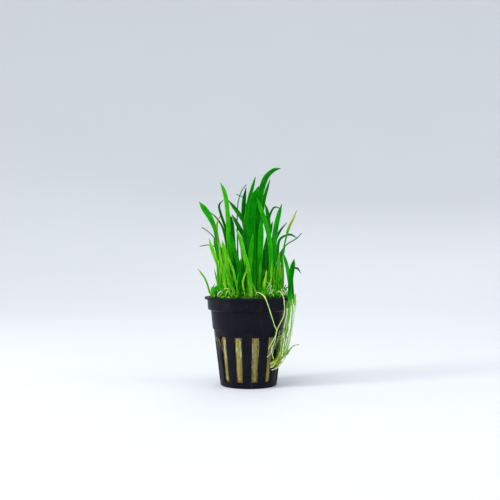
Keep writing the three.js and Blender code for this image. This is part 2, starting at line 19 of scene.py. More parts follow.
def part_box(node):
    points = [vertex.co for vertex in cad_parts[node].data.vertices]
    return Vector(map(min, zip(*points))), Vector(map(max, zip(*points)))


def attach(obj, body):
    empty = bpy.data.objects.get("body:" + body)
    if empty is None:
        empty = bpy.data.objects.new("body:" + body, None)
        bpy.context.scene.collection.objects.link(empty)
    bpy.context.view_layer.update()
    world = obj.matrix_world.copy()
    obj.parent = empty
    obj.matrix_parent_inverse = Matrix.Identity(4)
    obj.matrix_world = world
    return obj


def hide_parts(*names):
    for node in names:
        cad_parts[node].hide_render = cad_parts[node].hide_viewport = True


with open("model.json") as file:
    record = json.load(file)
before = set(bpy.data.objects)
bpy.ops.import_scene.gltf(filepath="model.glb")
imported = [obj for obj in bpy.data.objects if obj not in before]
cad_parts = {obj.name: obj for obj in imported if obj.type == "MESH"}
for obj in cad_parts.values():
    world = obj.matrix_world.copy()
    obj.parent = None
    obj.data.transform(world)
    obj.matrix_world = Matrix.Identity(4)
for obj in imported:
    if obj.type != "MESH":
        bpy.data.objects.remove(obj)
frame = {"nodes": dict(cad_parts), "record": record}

MM = 0.001
scene = bpy.context.scene
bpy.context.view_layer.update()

# %% [markdown]
# ## Camera
# The photograph looks at the plant from straight in front, so the rim of the pot is a flat line. We
# measured how many millimetres one pixel covers at the pot's axis, and which pixel that axis and the
# surface under the pot fall on. With a lens chosen, those three numbers give the camera's place.

# %% Camera
PHOTO_SIZE = 500
MM_PER_PIXEL = 0.567
AXIS_PIXEL = 248.6
SURFACE_PIXEL = 384.7
LENS = 60


def add_object(name, data):
    made = bpy.data.objects.new(name, data)
    scene.collection.objects.link(made)
    return made


camera_data = bpy.data.cameras.new("camera")
camera_data.lens = LENS
camera = add_object("camera", camera_data)
middle_pixel = PHOTO_SIZE / 2
camera.location = (
    (middle_pixel - AXIS_PIXEL) * MM_PER_PIXEL * MM,
    -PHOTO_SIZE * MM_PER_PIXEL * MM * LENS / camera_data.sensor_width,
    (SURFACE_PIXEL - middle_pixel) * MM_PER_PIXEL * MM,
)
camera.rotation_euler = (math.radians(90), 0, 0)
scene.camera = camera
print("camera, m:", [round(x, 4) for x in camera.location])

# %% [markdown]
# ## Materials out of nodes
# Every finish here is a small graph of nodes that feeds one Principled shader. Writing the links out one
# by one hides the idea behind them, so this helper gives each node that we use a short method, and each
# method returns the node's output, ready for the next. Sizes of patterns are given in millimetres.

# %% A helper for materials
class Finish:
    """A material in the making. Each method adds a node and gives back its output."""

    def __init__(self, name):
        self.material = bpy.data.materials.new(name)
        self.material.use_nodes = True
        self.tree = self.material.node_tree
        self.shader = self.tree.nodes["Principled BSDF"]

    def set_input(self, socket, value):
        if isinstance(value, bpy.types.NodeSocket):
            self.tree.links.new(value, socket)
        else:
            socket.default_value = value

    def node(self, kind, inputs, **settings):
        made = self.tree.nodes.new("ShaderNode" + kind)
        for name, value in settings.items():
            setattr(made, name, value)
        for key, value in inputs.items():
            self.set_input(made.inputs[key], value)
        return made

    def object_place(self):
        return self.node("TexCoord", {}).outputs["Object"]

    def attribute(self, name):
        values = self.node("Attribute", {}, attribute_name=name).outputs["Vector"]
        return self.node("SeparateXYZ", {0: values}).outputs

    def vector(self, x, y, z):
        return self.node("CombineXYZ", {0: x, 1: y, 2: z}).outputs[0]

    def stretched(self, place, scales):
        return self.node("Mapping", {"Vector": place, "Scale": scales}).outputs[0]

    def noise(self, place, size, detail=3.0, roughness=0.55):
        inputs = {"Vector": place, "Scale": 1 / size, "Detail": detail, "Roughness": roughness}
        return self.node("TexNoise", inputs).outputs["Fac"]

    def spots(self, place, size):
        return self.node("TexVoronoi", {"Vector": place, "Scale": 1 / size}).outputs["Distance"]

    def maths(self, operation, first, second=0.0, **settings):
        return self.node("Math", {0: first, 1: second}, operation=operation, **settings).outputs[0]

    def plus(self, total, *others):
        for other in others:
            total = self.maths("ADD", total, other)
        return total

    def times(self, product, *others):
        for other in others:
            product = self.maths("MULTIPLY", product, other)
        return product

    def centred(self, value, strength):
        """A value around a half, moved to lie around zero and made weaker."""
        return self.times(self.maths("SUBTRACT", value, 0.5), strength)

    def fade(self, value, low, high):
        inputs = {"Value": value, "From Min": low, "From Max": high}
        return self.node("MapRange", inputs, interpolation_type="SMOOTHSTEP").outputs[0]

    def ramp(self, share, stops):
        made = self.node("ValToRGB", {"Fac": share})
        ramp = made.color_ramp
        while len(ramp.elements) < len(stops):
            ramp.elements.new(1)
        for element, (place, colour) in zip(ramp.elements, stops):
            element.position = place
            element.color = (*colour, 1)
        return made.outputs["Color"]

    def mix(self, share, *colours):
        first, second = ((*c, 1) if isinstance(c, tuple) else c for c in colours)
        return self.node("Mix", {0: share, 6: first, 7: second}, data_type="RGBA").outputs[2]

    def bump(self, height, depth, below=None):
        inputs = {"Strength": 1.0, "Distance": depth, "Height": height}
        if below:
            inputs["Normal"] = below
        return self.node("Bump", inputs).outputs[0]

    def done(self, **sockets):
        for name, value in sockets.items():
            self.set_input(self.shader.inputs[name.replace("_", " ")], value)
        print("finish", self.material.name, "with", len(self.tree.nodes), "nodes")
        return self.material

# %% [markdown]
# ## Floor, backdrop and light
# A product picture is taken on a sweep: a floor that curves up into its own backdrop, so no line shows
# behind the object. Ours goes all the way round, because the plant is looked at from every side. It
# starts as a disc, and its edge is extruded outwards along an arc and then up.

# %% Floor and backdrop
FLOOR_RADIUS = 0.6
SWEEP_RADIUS = 1.2
BACKDROP_HEIGHT = 1.35
SWEEP_STEPS = 24


def make_sweep_finish():
    finish = Finish("studio_sweep")
    cloudy = finish.noise(finish.object_place(), 400 * MM)
    colour = finish.mix(cloudy, (0.75, 0.77, 0.8), (0.79, 0.81, 0.84))
    return finish.done(Base_Color=colour, Roughness=0.9, Specular_IOR_Level=0.1)


def extrude_ring(shape, edges):
    """Extrudes a ring of edges where it lies, and gives the points and the edges of the new ring."""
    made = bmesh.ops.extrude_edge_only(shape, edges=edges)["geom"]
    kinds = (bmesh.types.BMVert, bmesh.types.BMEdge)
    return [[part for part in made if isinstance(part, kind)] for kind in kinds]


def widen_edge(shape, radius, height):
    ring, _ = extrude_ring(shape, [edge for edge in shape.edges if edge.is_boundary])
    for vert in ring:
        vert.co = vert.co.xy.normalized().to_3d() * radius + Vector((0, 0, height))


def mesh_object(name, shape, material):
    mesh = bpy.data.meshes.new(name)
    shape.to_mesh(mesh)
    shape.free()
    mesh.shade_smooth()
    mesh.materials.append(material)
    print(name, "with", len(mesh.polygons), "faces")
    return add_object(name, mesh)


sweep_shape = bmesh.new()
bmesh.ops.create_circle(sweep_shape, cap_ends=True, radius=FLOOR_RADIUS, segments=96)
for step in range(1, SWEEP_STEPS + 1):
    angle = math.radians(90) * step / SWEEP_STEPS
    radius = FLOOR_RADIUS + SWEEP_RADIUS * math.sin(angle)
    widen_edge(sweep_shape, radius, SWEEP_RADIUS * (1 - math.cos(angle)))
widen_edge(sweep_shape, FLOOR_RADIUS + SWEEP_RADIUS, BACKDROP_HEIGHT)
mesh_object("studio_sweep", sweep_shape, make_sweep_finish())

# %% [markdown]
# ## Light
# Soft light from nearly everywhere keeps the greens clean. A bright sky does most of it. Large lamps
# above and at both sides give the leaves their sheen, and a tall one on the left puts the soft grey
# band down the side of the black pot. Each lamp looks at the middle of the plant.

# %% Lights
LIGHT_TARGET = Vector((0, 0, 0.06))


def add_lamp(name, place, size, power, tall=1.0):
    lamp = bpy.data.lights.new(name, "AREA")
    lamp.shape = "RECTANGLE"
    lamp.size = size
    lamp.size_y = size * tall
    lamp.energy = power
    holder = add_object(name, lamp)
    holder.location = place
    holder.rotation_euler = (LIGHT_TARGET - Vector(place)).to_track_quat("-Z", "Y").to_euler()
    print("lamp", name, power, "W")


add_lamp("lamp_above", (-0.25, -0.45, 0.95), 0.7, 3.5)
add_lamp("lamp_left", (-0.85, -0.4, 0.5), 0.22, 4.6, tall=2)
add_lamp("lamp_right", (0.75, -0.25, 0.45), 0.5, 1.2)
add_lamp("lamp_behind", (0.2, 0.8, 0.7), 0.6, 1.5)

sky = bpy.data.worlds.new("sky")
sky.use_nodes = True
sky.node_tree.nodes["Background"].inputs["Color"].default_value = (0.94, 0.97, 1, 1)
sky.node_tree.nodes["Background"].inputs["Strength"].default_value = 0.8
scene.world = sky
scene.view_settings.view_transform = "Standard"

# %% [markdown]
# ## One way to make a piece
# Every piece of the plant goes through the same steps: its faces are turned outwards, it becomes an object
# with its finish, it rides on the one body of this model, and the solids that it stands for are hidden.

# %% A helper for pieces
def make_piece(name, shape, material, slot, *nodes):
    bmesh.ops.recalc_face_normals(shape, faces=shape.faces)
    piece = mesh_object(name, shape, material)
    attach(piece, "root")
    if nodes:
        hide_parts(*nodes)
    return piece


MERGE_DISTANCE = 0.001 * MM
WELD_DISTANCE = 0.01 * MM


def merged_copy(node):
    """A copy of a solid's mesh with its loose triangles joined up."""
    shape = bmesh.new()
    shape.from_mesh(frame["nodes"][node].data)
    bmesh.ops.remove_doubles(shape, verts=shape.verts, dist=MERGE_DISTANCE)
    return shape


def everything(shape):
    return [*shape.verts, *shape.edges, *shape.faces]

# %% [markdown]
# ## The pot
# The real pot is one thin moulding of black plastic. It could be carved out of a solid with booleans, but
# they leave ragged faces. Instead we take the outline of the wall, as a cut through the solid shows it,
# and spin it in twelve pairs of turns: a narrow one for each slot and a wider one for the rib beside it.
# The faces in the slots are then deleted, and the open edges bridged to give the wall its thickness.

# %% The outline of the wall
RIB_AZIMUTH = math.radians(-3)
SLOTS = 12
FIRST_SLOT = math.radians(-48)
SLOT_ARC = math.radians(13.2)
SLOT_FOOT_Z = 3.4 * MM
SLOT_TOP_Z = 28.4 * MM
DRAIN_INNER_RADIUS = 6.5 * MM
DRAIN_OUTER_RADIUS = 12.5 * MM
UP = Vector((0, 0, 1))


def outwards(azimuth):
    """The way out from the pot's axis. Azimuth 0 is the front, and it grows towards the right."""
    return Vector((math.sin(azimuth), -math.cos(azimuth), 0))


def half_section(node, azimuth):
    """The outline of a solid on one side of the axis, as edges in an upright plane."""
    shape = merged_copy(node)
    out = outwards(azimuth)
    for normal, clear_outer in ((UP.cross(out), True), (out, False)):
        cut = {"clear_inner": True, "clear_outer": clear_outer, "dist": MERGE_DISTANCE}
        bmesh.ops.bisect_plane(shape, geom=everything(shape), plane_no=normal, **cut)
    straight = math.radians(1)
    bmesh.ops.dissolve_limit(shape, angle_limit=straight, verts=shape.verts, edges=shape.edges)
    return shape


def cut_outline(shape, place, normal):
    bmesh.ops.bisect_plane(shape, geom=everything(shape), plane_co=place, plane_no=normal)


pot_shape = half_section("pot", RIB_AZIMUTH)
wall_points = [(vert.co.xy.length, vert.co.z) for vert in pot_shape.verts]
wall_heights = sorted({round(z, 6) for _, z in wall_points})
wall_radii = [max(r for r, z in wall_points if abs(z - level) < WELD_DISTANCE) for level in wall_heights]
print("outline of the pot, points:", len(wall_points))


def wall_radius(height):
    """The outer radius of the pot at a height."""
    return float(np.interp(height, wall_heights, wall_radii))


print("wall radius at mid height, mm:", round(wall_radius(20 * MM) / MM, 2))

# %% [markdown]
# ## Spinning the wall
# The outline first gets a point where the slots begin and end, and where the drains do, so that the spun
# faces end there. Four steps for each slot and four for each rib make 96 round the pot.

# %% Spin the wall
STEPS_TO_AN_ARC = 4
EDGE_ROUNDING = 0.22 * MM
TURN_TOLERANCE = math.radians(0.2)


def turn_of(place):
    """Where a place lies in the repeat of slot and rib: its slot's number, and the angle past its start."""
    azimuth = math.atan2(place.x, -place.y)
    past = (azimuth - FIRST_SLOT + SLOT_ARC / 2 + TURN_TOLERANCE) % math.tau
    pitch = math.tau / SLOTS
    return int(past // pitch), past % pitch


def is_slot_face(face):
    place = face.calc_center_median()
    number, past = turn_of(place)
    if past > SLOT_ARC + TURN_TOLERANCE:
        return False
    radius = place.xy.length
    in_slot = SLOT_FOOT_Z < place.z < SLOT_TOP_Z and radius > DRAIN_OUTER_RADIUS
    in_drain = DRAIN_INNER_RADIUS < radius < DRAIN_OUTER_RADIUS and number % 2 == 0
    return in_slot or in_drain


def spin_wall(shape):
    start = FIRST_SLOT - SLOT_ARC / 2 - RIB_AZIMUTH
    bmesh.ops.rotate(shape, matrix=Matrix.Rotation(start, 3, "Z"), verts=shape.verts)
    outline = everything(shape)
    rib_arc = math.tau / SLOTS - SLOT_ARC
    for _ in range(SLOTS):
        for arc in (SLOT_ARC, rib_arc):
            spun = bmesh.ops.spin(shape, geom=outline, axis=UP, angle=arc, steps=STEPS_TO_AN_ARC)
            outline = spun["geom_last"]
    bmesh.ops.remove_doubles(shape, verts=shape.verts, dist=WELD_DISTANCE)


def open_slots(shape):
    holes = [face for face in shape.faces if is_slot_face(face)]
    bmesh.ops.delete(shape, geom=holes, context="FACES")
    rims = {}
    for edge in shape.edges:
        if edge.is_boundary:
            place = (edge.verts[0].co + edge.verts[1].co) / 2
            number, _ = turn_of(place)
            is_drain = place.xy.length < DRAIN_OUTER_RADIUS + 1 * MM
            rims.setdefault((number, is_drain), []).append(edge)
    for edges in rims.values():
        bmesh.ops.bridge_loops(shape, edges=edges)
    return len(rims)


for height in (SLOT_FOOT_Z, SLOT_TOP_Z):
    cut_outline(pot_shape, UP * height, UP)
for radius in (DRAIN_INNER_RADIUS, DRAIN_OUTER_RADIUS):
    cut_outline(pot_shape, outwards(RIB_AZIMUTH) * radius, outwards(RIB_AZIMUTH))
spin_wall(pot_shape)
print("openings in the pot:", open_slots(pot_shape))
bmesh.ops.recalc_face_normals(pot_shape, faces=pot_shape.faces)
sharp = [edge for edge in pot_shape.edges if edge.calc_face_angle(0) > math.radians(28)]
rounding = {"affect": "EDGES", "segments": 2, "profile": 0.5, "material": -1, "clamp_overlap": True}
bmesh.ops.bevel(pot_shape, geom=sharp, offset=EDGE_ROUNDING, **rounding)

# %% [markdown]
# ## Black moulded plastic
# The pot is satin black, a little blue where it mirrors the sky. Up close it has the fine grain of the
# mould, scuffs that are duller than the rest, and pale specks of lime and wool dust, most of them under
# the rim where drops dry. Roughness and a small bump carry the grain, and the specks are in the colour.

# %% Finish of the pot
POT_BLACKS = ((0.003, 0.003, 0.006), (0.009, 0.009, 0.016))
DUST_GREY = (0.32, 0.34, 0.36)
FILM_GREY = (0.2, 0.21, 0.2)


def make_pot_finish():
    finish = Finish("black_plastic")
    place = finish.object_place()
    height = finish.node("SeparateXYZ", {0: place}).outputs[2]
    cloudy = finish.noise(place, 9 * MM, detail=5)
    scuffs = finish.noise(finish.stretched(place, (1, 1, 0.25)), 1.6 * MM, detail=4)
    grain = finish.noise(place, 0.25 * MM, detail=2)
    colour = finish.mix(cloudy, *POT_BLACKS)
    specks = finish.maths("LESS_THAN", finish.spots(place, 0.9 * MM), 0.13)
    near_rim = finish.fade(height, 36 * MM, 49 * MM)
    chosen = finish.fade(finish.noise(place, 2.5 * MM), 0.52, 0.66)
    colour = finish.mix(finish.times(specks, chosen, near_rim, 0.5), colour, DUST_GREY)
    film = finish.fade(finish.noise(finish.stretched(place, (1, 1, 0.2)), 4 * MM), 0.5, 0.8)
    colour = finish.mix(finish.times(film, 0.04), colour, FILM_GREY)
    roughness = finish.plus(0.3, finish.times(scuffs, 0.22))
    relief = finish.bump(grain, 0.02 * MM, finish.bump(cloudy, 0.08 * MM))
    return finish.done(
        Base_Color=colour, Roughness=roughness, Normal=relief, Specular_IOR_Level=0.07
    )


pot_piece = make_piece("pot_moulded", pot_shape, make_pot_finish(), "pot", "pot")
pot_piece.data.set_sharp_from_angle(angle=math.radians(35))

# %% [markdown]
# ## The mineral wool
# The plug is pressed fibre that fills the pot and swells a little out of each slot. Its outline comes
# from its solid in the same way as the pot's, cut into short lengths and spun finely enough to be
# pushed in and out by noise.

# %% The plug of wool
WOOL_STEPS = 120
WOOL_EDGE = 1.3 * MM
WOOL_LUMPS = 0.3 * MM
WOOL_SWELL = 0.95 * MM
TAN_COLOURS = [(0.25, (0.11, 0.075, 0.02)), (0.5, (0.36, 0.26, 0.08)), (0.75, (0.6, 0.48, 0.22))]
OLIVE_COLOURS = [(0.25, (0.07, 0.06, 0.015)), (0.5, (0.26, 0.24, 0.06)), (0.75, (0.46, 0.43, 0.16))]


def rough_at(place, size):
    return noise.fractal(place / size, 0.6, 2.0, 3)


def swell_in_slot(place):
    _, past = turn_of(place)
    share = min(max(past / SLOT_ARC, 0), 1)
    in_window = SLOT_FOOT_Z < place.z < SLOT_TOP_Z
    return math.sin(math.pi * share) if in_window else 0.0


def make_wool():
    shape = half_section("wool", RIB_AZIMUTH)
    for edge in list(shape.edges):
        cuts = int(edge.calc_length() / WOOL_EDGE)
        if cuts:
            bmesh.ops.subdivide_edges(shape, edges=[edge], cuts=cuts)
    spin = {"axis": UP, "angle": math.tau, "steps": WOOL_STEPS, "use_merge": True}
    bmesh.ops.spin(shape, geom=everything(shape), **spin)
    bmesh.ops.remove_doubles(shape, verts=shape.verts, dist=WELD_DISTANCE)
    for vert in shape.verts:
        out = vert.co.xy.to_3d()
        if out.length > 1 * MM:
            push = WOOL_SWELL * swell_in_slot(vert.co) - WOOL_LUMPS * abs(rough_at(vert.co, 2.4 * MM))
            vert.co += out.normalized() * push
    return shape


def make_wool_finish():
    finish = Finish("mineral_wool")
    place = finish.object_place()
    fibres = finish.noise(finish.stretched(place, (1, 1, 0.22)), 0.5 * MM, detail=6, roughness=0.7)
    patches = finish.noise(place, 6 * MM, detail=3)
    tan = finish.ramp(fibres, TAN_COLOURS)
    olive = finish.ramp(fibres, OLIVE_COLOURS)
    colour = finish.mix(finish.fade(patches, 0.4, 0.62), tan, olive)
    relief = finish.bump(fibres, 0.5 * MM)
    return finish.done(Base_Color=colour, Roughness=0.95, Normal=relief, Specular_IOR_Level=0.15)


make_piece("wool_plug", make_wool(), make_wool_finish(), "wool", "wool")

# %% [markdown]
# ## Drawing an outline along a line
# Leaves, runners and roots are all the same kind of shape: an outline that is carried along a line while
# it widens, thins and turns. We make it with a loft: a ring of points is extruded from station to
# station, and each new ring is moved by the matrix that takes one station to the next. Two attributes go
# with every point, for the materials: "place" is how far across and along the strand it lies, and "tone"
# is the strand's own colour, age and number.

# %% Stations and lofts
DOME_ANGLES = (35, 65, 82)


def smooth_through(rows, count):
    """Rows of numbers drawn out to more rows, along a smooth curve that passes through each of them."""
    rows = np.asarray(rows, float)
    padded = np.vstack([2 * rows[0] - rows[1], rows, 2 * rows[-1] - rows[-2]])
    places = np.linspace(0, len(rows) - 1, count)
    before = np.minimum(places.astype(int), len(rows) - 2)
    t = (places - before)[:, None]
    a, b, c, d = (padded[before + k] for k in range(4))
    return b + 0.5 * t * (c - a + t * (2 * a - 5 * b + 4 * c - d + t * (3 * (b - c) + d - a)))


def stations_along(middles, ways, half_widths, half_thicknesses):
    """A matrix for each station. Its columns are the ways across, out and along, and the place."""
    stations = []
    steps = np.gradient(np.asarray(middles, float), axis=0)
    way = Vector(ways[0])
    for i, (middle, step) in enumerate(zip(middles, steps)):
        along = Vector(step).normalized()
        way = Vector(ways[i]) if len(ways) > 1 else way
        way = (way - along * way.dot(along)).normalized()
        columns = (way * half_widths[i], way.cross(along) * half_thicknesses[i], along * half_widths[i])
        station = Matrix(columns).transposed().to_4x4()
        station.translation = Vector(middle)
        stations.append(station)
    return stations


def rounded(station, direction):
    """The stations that close an end off in a dome."""
    reach = station.col[1].to_3d().length * direction
    along = station.col[2].to_3d().normalized()
    dome = []
    for angle in DOME_ANGLES:
        share = math.cos(math.radians(angle))
        closing = station @ Matrix.Diagonal((share, share, share, 1))
        closing.translation = station.translation + along * reach * math.sin(math.radians(angle))
        dome.append(closing)
    return dome


def new_strands():
    shape = bmesh.new()
    shape.verts.layers.float_vector.new("place")
    shape.verts.layers.float_vector.new("tone")
    return shape


def loft(shape, sides, stations, tone, cup=0.0):
    """Draws a ring of points from station to station and closes both ends."""
    place = shape.verts.layers.float_vector["place"]
    tones = shape.verts.layers.float_vector["tone"]
    travel = [(b.translation - a.translation).length / MM for a, b in zip(stations, stations[1:])]
    lengths = [0.0, *np.cumsum(travel)]
    ring = bmesh.ops.create_circle(shape, segments=sides, radius=1)["verts"]
    edges = list(dict.fromkeys(edge for vert in ring for edge in vert.link_edges))
    for vert in ring:
        vert[place] = (vert.co.x, 0, 0)
        vert[tones] = tone
        vert.co.y += cup * (vert.co.x ** 2 - 0.5)
    last = Matrix.Identity(4)
    for i, station in enumerate(stations):
        if i == 1:
            bmesh.ops.edgeloop_fill(shape, edges=edges)
        if i > 0:
            ring, edges = extrude_ring(shape, edges)
        bmesh.ops.transform(shape, matrix=station @ last.inverted(), verts=ring)
        for vert in ring:
            vert[place] = (vert[place][0], lengths[i], lengths[i] / lengths[-1])
        last = station
    bmesh.ops.edgeloop_fill(shape, edges=edges)

# %% [markdown]
# ## Reading the leaves from their solids
# Each long leaf has a plain solid with four corners to a ring: two at the edges of the blade and two on
# its faces. We start at the flat cap of one end and step from ring to ring through the edges. That gives
# the middle line, the half width and the half thickness, which the loft then draws much more finely.

# %% Read the rings of a solid
CAP_FLATNESS = 0.9995


def is_cap(vert):
    """True in the middle of a flat end, where every face has the same normal."""
    first = vert.link_faces[0].normal
    return all(face.normal.dot(first) > CAP_FLATNESS for face in vert.link_faces)


def read_rings(node, from_top=False):
    """The rings of corners of a swept solid, from its lower end to its upper one or the other way."""
    shape = merged_copy(node)
    shape.normal_update()
    caps = sorted((vert for vert in shape.verts if is_cap(vert)), key=lambda vert: vert.co.z)
    start = caps[-1] if from_top else caps[0]
    seen = {start}
    ring = [edge.other_vert(start) for edge in start.link_edges]
    rings = []
    while len(ring) > 1:
        seen.update(ring)
        rings.append(ring)
        beyond = dict.fromkeys(edge.other_vert(vert) for vert in ring for edge in vert.link_edges)
        ring = [vert for vert in beyond if vert not in seen]
    found = [[(vert.co.copy(), neighbours(vert, ring)) for vert in ring] for ring in rings]
    shape.free()
    return found


def neighbours(vert, ring):
    """Which corners of its ring a corner is joined to."""
    joined = {edge.other_vert(vert) for edge in vert.link_edges}
    return [i for i, other in enumerate(ring) if other in joined]


def middle_of(ring):
    return sum((place for place, _ in ring), Vector()) / len(ring)


def halves_of(ring):
    """The two half diagonals of a ring of four corners."""
    beside = ring[0][1]
    across = next(i for i in (1, 2, 3) if i not in beside)
    first = (ring[0][0] - ring[across][0]) / 2
    second = (ring[beside[0]][0] - ring[beside[1]][0]) / 2
    return first, second


def read_leaf(node):
    """Rows of middle, half width as a vector, and half thickness, from foot to tip."""
    rings = read_rings(node)
    widest = max(rings, key=lambda ring: max(half.length for half in halves_of(ring)))
    guide = max(halves_of(widest), key=lambda half: half.length).normalized()
    start = rings.index(widest)
    rows = [None] * len(rings)
    for order in (range(start, len(rings)), range(start - 1, -1, -1)):
        way = guide
        for i in order:
            first, second = halves_of(rings[i])
            if abs(second.normalized().dot(way)) > abs(first.normalized().dot(way)):
                first, second = second, first
            first = first if first.dot(way) > 0 else -first
            way = first.normalized()
            rows[i] = [*middle_of(rings[i]), *first, second.length]
    return rows


example = read_leaf("leaf_centre_3")
print("tallest leaf:", len(example), "rings, tip at mm", [round(x / MM, 1) for x in example[-1][:3]])

# %% [markdown]
# ## Green leaf
# A leaf of this plant is a flat, hollow strap, pale and yellowish at its stalk and deep green above. Fine
# veins run along it, and faint cross walls show through every few millimetres. Old leaves go yellow and
# then brown from the tip. The pattern follows the leaf through its attributes, with a little noise from
# its place in space, and some light passes through the blade.

# %% Finish of the leaves
GREENS = [
    (0.0, (0.0005, 0.08, 0.001)),
    (0.3, (0.001, 0.195, 0.001)),
    (0.55, (0.012, 0.34, 0.003)),
    (0.8, (0.085, 0.47, 0.007)),
    (1.0, (0.26, 0.62, 0.03)),
]
STALK_GREEN = (0.17, 0.42, 0.035)
WALL_GREEN = (0.12, 0.36, 0.03)
FADED_YELLOW = (0.42, 0.44, 0.016)
TIP_BROWN = (0.1, 0.07, 0.02)


def make_leaf_finish():
    finish = Finish("green_leaf")
    across, along, share = finish.attribute("place")
    tone, age, number = finish.attribute("tone")
    place = finish.object_place()
    mottled = finish.noise(place, 5 * MM, detail=4)
    ways = finish.vector(finish.times(across, 5.0), finish.times(along, 0.05), number)
    veins = finish.noise(ways, 1.0, detail=4)
    # painted light: the edges of each blade are made lighter in colour, standing in for light shining
    # through the thin rim
    edge = finish.times(finish.fade(finish.maths("ABSOLUTE", across), 0.6, 1.0), 0.14)
    near_foot = finish.times(finish.fade(share, 0.35, 0.0), 0.3)
    uneven = [finish.centred(pattern, 0.55) for pattern in (mottled, veins)]
    colour = finish.ramp(finish.plus(tone, *uneven, near_foot, edge), GREENS)
    colour = finish.mix(finish.times(finish.fade(share, 0.16, 0.0), 0.75), colour, STALK_GREEN)
    wandering = finish.plus(along, finish.times(finish.noise(place, 3 * MM), 1.6))
    cell = finish.maths("FRACT", finish.times(wandering, 0.2))
    wall = finish.maths("LESS_THAN", finish.maths("ABSOLUTE", finish.centred(cell, 1.0)), 0.035)
    colour = finish.mix(finish.times(wall, 0.08), colour, WALL_GREEN)
    ragged = finish.plus(share, finish.centred(mottled, 0.12))
    faded_from = finish.maths("SUBTRACT", 1.12, finish.times(age, 0.62))
    past = finish.maths("MULTIPLY", finish.maths("SUBTRACT", ragged, faded_from), 7.0, use_clamp=True)
    colour = finish.mix(past, colour, FADED_YELLOW)
    tip = finish.times(finish.fade(ragged, 0.97, 1.0), finish.fade(age, 0.15, 0.45))
    colour = finish.mix(tip, colour, TIP_BROWN)
    return finish.done(
        Base_Color=colour,
        Roughness=finish.plus(0.36, finish.times(mottled, 0.2)),
        Normal=finish.bump(finish.plus(veins, finish.times(wall, 0.15)), 0.12 * MM),
        Specular_IOR_Level=0.12,
        Specular_Tint=(0.2, 1.0, 0.2, 1.0),
        Subsurface_Weight=0.12,
        Subsurface_Radius=(0.4, 1.0, 0.1),
        Subsurface_Scale=0.5 * MM,
    )


leaf_finish = make_leaf_finish()

# %% [markdown]
# ## The long leaves
# Every long leaf is its own piece over its own solid. The loft takes twelve points to a ring and thirty
# stations to a leaf. The blade is a little hollow on one face, and its edges wander by a few hundredths,
# as they do on anything that grew. How deep its green is depends on where it stands in the pot.

# %% The long leaves
LEAF_SIDES = 12
LEAF_STATIONS = 30
LEAF_CUP = 0.75
LEAF_PLUMP = 0.85
EDGE_WANDER = 0.05

SLOT_TONES = {"leaf": (0.28, 0.15), "young_leaf": (0.8, 0.1), "faded_leaf": (0.6, 0.75)}
LEAF_TONES = {
    # group: {the leaf's number in it: (tone, age)}
    "front": {1: (0.7, 0), 3: (1, 0.3), 5: (0.44, 0), 6: (0.36, 0.1), 7: (0.52, 0)},
    "left": {
        1: (0.86, 0.1), 2: (0.5, 0.24), 3: (0.6, 0.22), 4: (0.35, 0.85), 5: (0.02, 0),
        6: (0.12, 0), 7: (0.02, 0), 9: (0.95, 0.5), 10: (0.6, 0), 11: (0.12, 0),
    },
    "centre": {
        1: (0.22, 0), 2: (0.42, 0.1), 3: (0.3, 0.2), 4: (0.3, 0.1), 5: (0.12, 0),
        6: (0.02, 0), 7: (0.14, 0), 9: (0.02, 0),
    },
    "right": {
        1: (0.4, 0.15), 3: (0.25, 0), 4: (0.2, 0), 5: (0.6, 0.62), 6: (0.46, 0.2),
        7: (0.2, 0), 8: (0, 0), 9: (0.4, 0.3),
    },
    "shoot": {1: (0.22, 0), 2: (0.5, 0), 3: (0.95, 0.1), 4: (0.1, 0.2)},
}
material_slots = {row["node"]: row["material_slot"] for row in frame["record"]["subparts"]}


def make_leaf(node, number):
    rows = smooth_through(read_leaf(node), LEAF_STATIONS)
    chance = random.Random(number)
    wander = smooth_through([[1 + chance.uniform(-1, 1) * EDGE_WANDER] for _ in range(8)], LEAF_STATIONS)
    half_widths = np.linalg.norm(rows[:, 3:6], axis=1) * wander[:, 0]
    stations = stations_along(rows[:, :3], rows[:, 3:6], half_widths, rows[:, 6] * LEAF_PLUMP)
    slot = material_slots[node]
    _, group, place = node.split("_")
    tone, age = LEAF_TONES.get(group, {}).get(int(place), SLOT_TONES[slot])
    shape = new_strands()
    loft(shape, LEAF_SIDES, [*stations, *rounded(stations[-1], 1)], (tone, age, number), LEAF_CUP)
    make_piece(node.replace("leaf", "blade"), shape, leaf_finish, slot, node)


for number, node in enumerate(node for node in frame["nodes"] if node.startswith("leaf_")):
    make_leaf(node, number)

# %% [markdown]
# ## The undergrowth
# Between the long leaves the wool is hidden by a low mat: young leaves of every height, curled ones close
# to the rim, and pale runners that wind through it. A few blades could be modelled by hand and scattered
# by the hundred, but they would look alike. Here a few numbers, drawn from a seeded source, give each
# young leaf its height, lean and twist, and the same loft draws it with few faces.

# %% The mound under the leaves
MOUND_STEPS = 72
MOUND_LUMPS = 1.3 * MM
MOUND_RINGS = 14
MOUND_RING_WIDTH = 1.5 * MM
MOSS_COLOURS = [(0.3, (0.006, 0.016, 0.004)), (0.55, (0.05, 0.12, 0.015)), (0.8, (0.2, 0.32, 0.06))]
LITTER_COLOURS = [(0.3, (0.015, 0.012, 0.006)), (0.6, (0.08, 0.07, 0.03)), (0.85, (0.3, 0.28, 0.14))]

MAT_RADIUS = 21.8 * MM
MAT_EDGE_Z = 50.2 * MM
MAT_TOP_Z = 52.6 * MM


